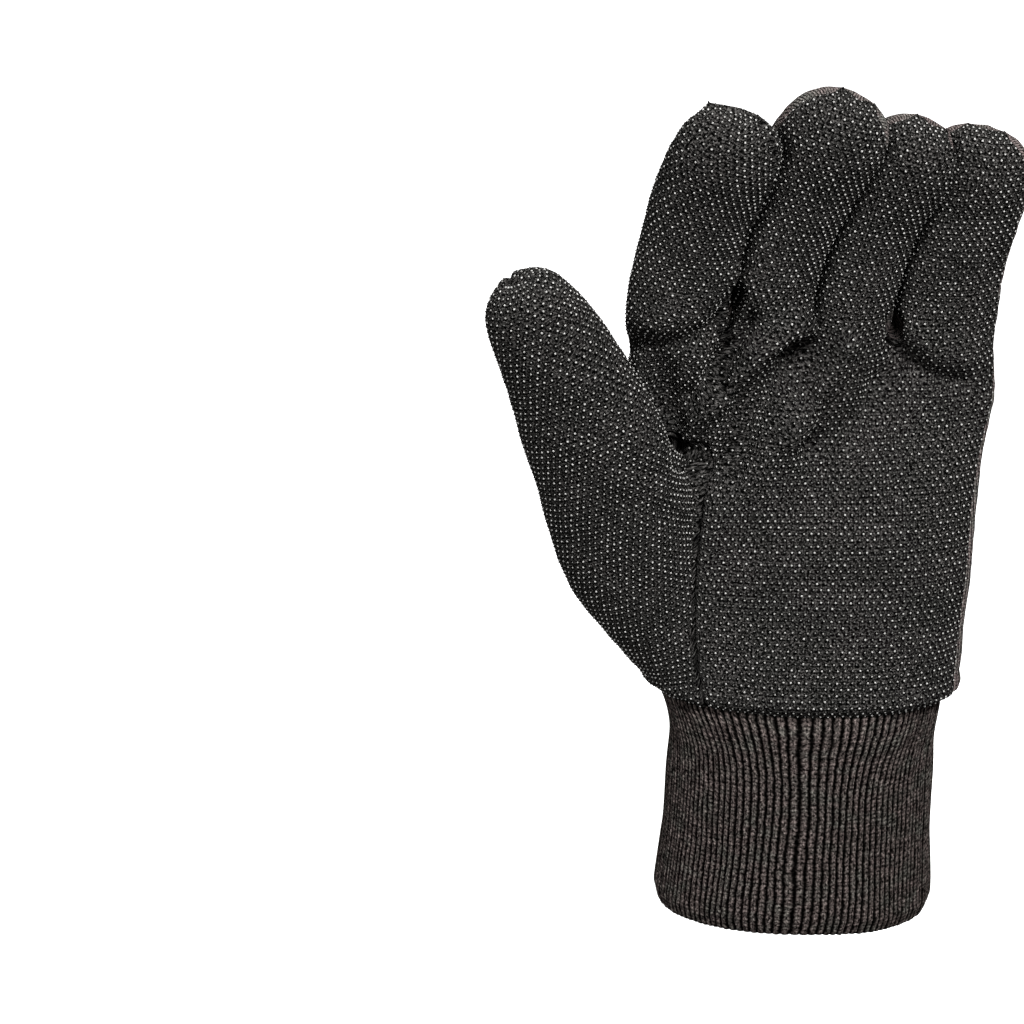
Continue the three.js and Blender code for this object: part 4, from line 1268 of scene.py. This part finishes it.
def grown_dots(tree, given, points):
    """A dome on each point, each of its own size and shade, with painted shade darker in the hollows."""
    def any_between(low, high):
        return add_node(
            tree, "FunctionNodeRandomValue", {2: low, 3: high, "Seed": given["Seed"]},
            data_type="FLOAT").outputs[1]

    ball = add_node(tree, "GeometryNodeMeshUVSphere", {
        "Segments": DOT_SIDES, "Rings": DOT_RINGS, "Radius": 1.0}).outputs[0]
    position = add_node(tree, "GeometryNodeInputPosition").outputs[0]
    height = add_node(tree, "ShaderNodeSeparateXYZ", {0: position}).outputs[2]
    below = maths(tree, "LESS_THAN", height, DOT_CUT)
    dome = add_node(
        tree, "GeometryNodeDeleteGeometry", {0: ball, "Selection": below}, domain="POINT").outputs[0]
    turn = add_node(
        tree, "FunctionNodeAlignRotationToVector", {"Vector": named(tree, "out", "FLOAT_VECTOR")},
        axis="Z").outputs[0]
    wide = maths(tree, "MULTIPLY", maths(tree, "MULTIPLY", given["Radius"], any_between(*DOT_SIZES)), MM)
    tall = maths(tree, "MULTIPLY", given["Height"], MM)
    scale = add_node(tree, "ShaderNodeCombineXYZ", {0: wide, 1: wide, 2: tall}).outputs[0]
    # Painted shade: dots in the hollows are darkened like the cloth
    unshaded_share = maths(tree, "SUBTRACT", 1.0, named(tree, "painted_shade_share"))
    # Each dot's random brightness, partly painted glint, dimmed by the painted shade of the hollows
    shade = maths(tree, "MULTIPLY", any_between(0.0, 1.0), unshaded_share)
    dots = add_node(tree, "GeometryNodeInstanceOnPoints", {
        "Points": points, "Instance": dome, "Rotation": turn, "Scale": scale}).outputs[0]
    return stored(tree, dots, "shade", shade, domain="INSTANCE")


def run_tree(name, source, tree, inputs):
    """A new object from a node tree run on a copy of another object's mesh."""
    obj = bpy.data.objects.new(name, source.data.copy())
    bpy.context.scene.collection.objects.link(obj)
    modifier = obj.modifiers.new("nodes", "NODES")
    modifier.node_group = tree
    for item in tree.interface.items_tree:
        if item.in_out == "INPUT" and item.name in inputs:
            modifier[item.identifier] = inputs[item.name]
    obj.update_tag()
    return applied(obj)


# The cuff: its sections' share of the height, centre and width as shares of its width, and share of its depth
CUFF_SECTIONS = (
    (0.0, -0.01, 0.985, 0.965), (0.01, -0.01, 1.01, 1.0), (0.03, -0.008, 1.03, 1.03),
    (0.08, -0.006, 1.025, 1.025), (0.35, 0.002, 0.99, 0.985), (0.8, 0.012, 0.965, 0.96),
    (0.93, 0.01, 1.0, 0.98),
)
CUFF_ROWS = 84
CUFF_SOFTENING = 7
# How far the cuff reaches up into the glove, and its top's distance inside the panels' edge, in millimetres
CUFF_OVERLAP = 0.6
CUFF_INSIDE = 1.2
# Ribs: steps across one, roundness, how much they differ in height, and where and by what share they flatten
RIB_STEPS = 8
RIB_ROUNDNESS = 0.8
RIB_UNEVEN = 0.35
RIB_FLAT_REACH = 3
RIB_FLAT_SHARE = 0.5
# The ribs spread to the sides towards the seam: radians at most, between which heights, and how suddenly
CUFF_GATHER = 0.15
CUFF_GATHER_HEIGHTS = (34, 66)
CUFF_GATHER_POWER = 1.5
# Soft unevenness round the cuff: how much, how fine round it, and the height over which it changes
SWAY = (0.022, 3, 22)
SWELLING = (0.35, 2.2, 16)
# The folded hem: how far it hangs below the edge, where its rows lie across the wall, and a row's height on
# the cloth. Inside the cuff only some rows are needed: the first of them, and the step to the next.
HEM_DROP = 1.1
HEM_ROWS = (0.25, 0.5, 0.75)
HEM_CLOTH_STEP = 0.5
INSIDE_ROWS = (6, 12)


def cuff_profile(foot, z):
    """The cuff's centre, half width and half depth at each height, meeting the panels' lower edge."""
    half_width = (foot[:, 0].max() - foot[:, 0].min()) / 2 - CUFF_INSIDE
    half_depth = (foot[:, 1].max() - foot[:, 1].min()) / 2 - CUFF_INSIDE
    table = np.array([
        (up * CUFF_HEIGHT, centre * CUFF_WIDTH, wide * CUFF_WIDTH / 2, deep * CUFF_DEPTH / 2)
        for up, centre, wide, deep in CUFF_SECTIONS])
    table = np.vstack((table, (CUFF_HEIGHT + CUFF_OVERLAP, 0.0, half_width, half_depth)))
    softened = []
    for k in (1, 2, 3):
        padded = np.pad(np.interp(z, table[:, 0], table[:, k]), CUFF_SOFTENING // 2, mode="edge")
        softened.append(np.convolve(padded, np.ones(CUFF_SOFTENING) / CUFF_SOFTENING, mode="valid"))
    return softened


def noise_round(turn, height, much, fine, tall):
    """Soft noise round the cuff at one height, the same again after a full turn."""
    return much * np.array([
        noise.noise(Vector((math.cos(a) * fine, math.sin(a) * fine, height / tall))) for a in turn])


def oval_sides(waves):
    return np.sign(waves) * np.abs(waves) ** (2 / OVAL_POWER)


def cuff_loops(foot):
    """The loops of the cuff's outer and inner sides from the hem up, and their heights."""
    z = CUFF_HEIGHT * np.linspace(0, 1, CUFF_ROWS)
    z[-1] = CUFF_HEIGHT + CUFF_OVERLAP
    centre, wide, deep = cuff_profile(foot, z)
    count = RIB_COUNT * RIB_STEPS
    turn = np.arange(count) / count * 2 * math.pi
    phase = np.arange(count) % RIB_STEPS / RIB_STEPS
    ridge = np.abs(np.sin(math.pi * phase)) ** RIB_ROUNDNESS
    heights = [RIB_UNEVEN * noise.noise(Vector((k * 1.7, 0.3, 9.0))) for k in range(RIB_COUNT)]
    uneven = np.repeat(heights, RIB_STEPS) * ridge
    outer, inner = [], []
    for r, height in enumerate(z):
        gather = CUFF_GATHER * smooth(*CUFF_GATHER_HEIGHTS, height) ** CUFF_GATHER_POWER
        angle = turn + (-gather * np.sin(2 * turn) + noise_round(turn, height, *SWAY))
        flat = 1 - RIB_FLAT_SHARE * smooth(CUFF_HEIGHT - RIB_FLAT_REACH, CUFF_HEIGHT, height)
        out = (RIB_DEPTH * (ridge - 1) + uneven) * flat + noise_round(turn, height, *SWELLING)
        across = centre[r] + (wide[r] + out) * oval_sides(np.cos(angle))
        loop = np.stack((across, (deep[r] + out) * oval_sides(np.sin(angle)), np.full(count, height)), 1)
        middle = np.array((centre[r], 0, height))
        shrink = 1 - CUFF_WALL / np.linalg.norm(loop - middle, axis=1)
        outer.append(loop)
        inner.append(middle + (loop - middle) * shrink[:, None])
    return outer, inner, z


def cuff_object(foot, material):
    """The cuff from its top down the outside, round the hem and up the inside."""
    outer, inner, z = cuff_loops(foot)
    hem = [
        outer[0] + (inner[0] - outer[0]) * s - np.array((0, 0, HEM_DROP * math.sin(math.pi * s)))
        for s in HEM_ROWS]
    hem_cloth = [-HEM_CLOTH_STEP * (k + 1) for k in range(len(HEM_ROWS) + 1)]
    inside = range(INSIDE_ROWS[0], CUFF_ROWS, INSIDE_ROWS[1])
    loops = outer[::-1] + hem + [inner[0]] + [inner[k] for k in inside]
    rises = [*z[::-1], *hem_cloth, *(hem_cloth[-1] - z[k] for k in inside)]
    count = len(outer[0])
    faces, cloth = [], []
    for r in range(len(loops) - 1):
        for k in range(count):
            after = (k + 1) % count
            faces.append((r * count + k, (r + 1) * count + k, (r + 1) * count + after, r * count + after))
            u0 = k / RIB_STEPS * RIB_ON_CLOTH
            u1 = (k + 1) / RIB_STEPS * RIB_ON_CLOTH
            cloth.append(((u0, rises[r]), (u0, rises[r + 1]), (u1, rises[r + 1]), (u1, rises[r])))
    places = np.vstack(loops)
    # The cuff gets no painted shade
    return mesh_object(
        "rib_cuff_knit", places, faces, cloth, [material], attributes={"painted_shade_share": np.zeros(len(places))})


# Making the glove
surface = glove_surface()
for panel in range(len(PANELS)):
    relax_cloth(surface, panel)
cage = fine_cage(surface)
sewn, open_edges = seam_edges(cage)
points = worn_cloth(cage, sewn, open_edges, surface.tips)
# How much painted shade each point gets in the hollows
painted_shade_share = painted_shade_from_hollows(cage, points)

dotted = dotted_material()
brown = jersey_material()
pieces = []
for panel, (node, material) in enumerate(zip(PANELS, (dotted, dotted, brown, brown, brown))):
    piece = panel_object(node + "_cloth", cage, points, panel, material, surface.tips, painted_shade_share)
    pieces.append((piece, node, "dotted_jersey" if material == dotted else "brown_jersey"))

seam_distance = distances_to(points, sewn)
tree = dot_tree(dot_material())
# The middle and little fingers' dots are made apart, because fingers overlap on the palm panel's flat cloth
for seed, (name, panel, group) in enumerate((
        ("grip_palm_dots", PALM, 0), ("grip_fingers_dots", PALM, 1), ("grip_thumb_dots", THUMB, 0))):
    own = (cage.panels == panel) & (cage.groups == group)
    used, corners = np.unique(cage.faces[own], return_inverse=True)
    skin = mesh_object(
        "skin", points[used], corners.reshape(-1, 4), cage.cloth[own],
        attributes={"seam": seam_distance[used], "painted_shade_share": painted_shade_share[used]})
    pieces.append((run_tree(name, skin, tree, {"Seed": seed}), None, "dotted_jersey"))
    bpy.data.objects.remove(skin)

foot = points[sorted({k for edge in open_edges for k in edge})]
pieces.append((cuff_object(foot, rib_material()), "rib_cuff", "rib_knit"))

for piece, node, slot in pieces:
    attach(piece, "root")
    if node:
        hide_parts(node)

# Stage, light and camera, in metres
FLOOR_DROP = 0.06
FLOOR_REACH = 12.0
FLOOR_GLOW = 0.6
WORLD_LIGHT = 0.25
LIGHT_TARGET = (0, 0, 0.12)
# Lights: place, size and power in watts
LIGHTS = {
    "key": ((0.3, -0.85, 1.0), 0.4, 28.0),
    "fill": ((-0.6, -1.0, 0.6), 0.8, 5.0),
    "back": ((0.1, 1.2, 1.3), 1.2, 30.0),
}
CAMERA_LENS = 117.07
CAMERA_PLACE = (-0.004, -0.85572, 0.42582)
CAMERA_TARGET = (-0.07928, -0.01, 0.11631)


def build_stage():
    mesh = bpy.data.meshes.new("floor")
    corners = [
        (x * FLOOR_REACH, y * FLOOR_REACH, -FLOOR_DROP) for x, y in ((-1, -1), (1, -1), (1, 1), (-1, 1))]
    mesh.from_pydata(corners, [], [(0, 1, 2, 3)])
    floor = bpy.data.objects.new("floor", mesh)
    bpy.context.scene.collection.objects.link(floor)
    material, _, shader = new_material("pale_floor")
    shader.inputs["Base Color"].default_value = (0.95, 0.95, 0.95, 1)
    shader.inputs["Emission Color"].default_value = (1, 1, 1, 1)
    shader.inputs["Emission Strength"].default_value = FLOOR_GLOW
    shader.inputs["Roughness"].default_value = 0.9
    mesh.materials.append(material)
    floor.visible_diffuse = False


def add_aimed(name, data, place, target):
    obj = bpy.data.objects.new(name, data)
    obj.location = place
    obj.rotation_mode = "QUATERNION"
    obj.rotation_quaternion = (Vector(target) - obj.location).to_track_quat("-Z", "Y")
    bpy.context.scene.collection.objects.link(obj)
    return obj


def build_light():
    world = bpy.data.worlds.new("studio")
    world.use_nodes = True
    world.node_tree.nodes["Background"].inputs[0].default_value = (1, 1, 1, 1)
    world.node_tree.nodes["Background"].inputs[1].default_value = WORLD_LIGHT
    bpy.context.scene.world = world
    for name, (place, size, power) in LIGHTS.items():
        light = bpy.data.lights.new(name, "AREA")
        light.size = size
        light.energy = power
        add_aimed(name, light, place, LIGHT_TARGET)
    bpy.context.scene.view_settings.view_transform = "Standard"


def build_camera():
    camera = bpy.data.cameras.new("camera")
    camera.lens = CAMERA_LENS
    camera.sensor_width = 36
    bpy.context.scene.camera = add_aimed("camera", camera, CAMERA_PLACE, CAMERA_TARGET)


build_stage()
build_light()
build_camera()
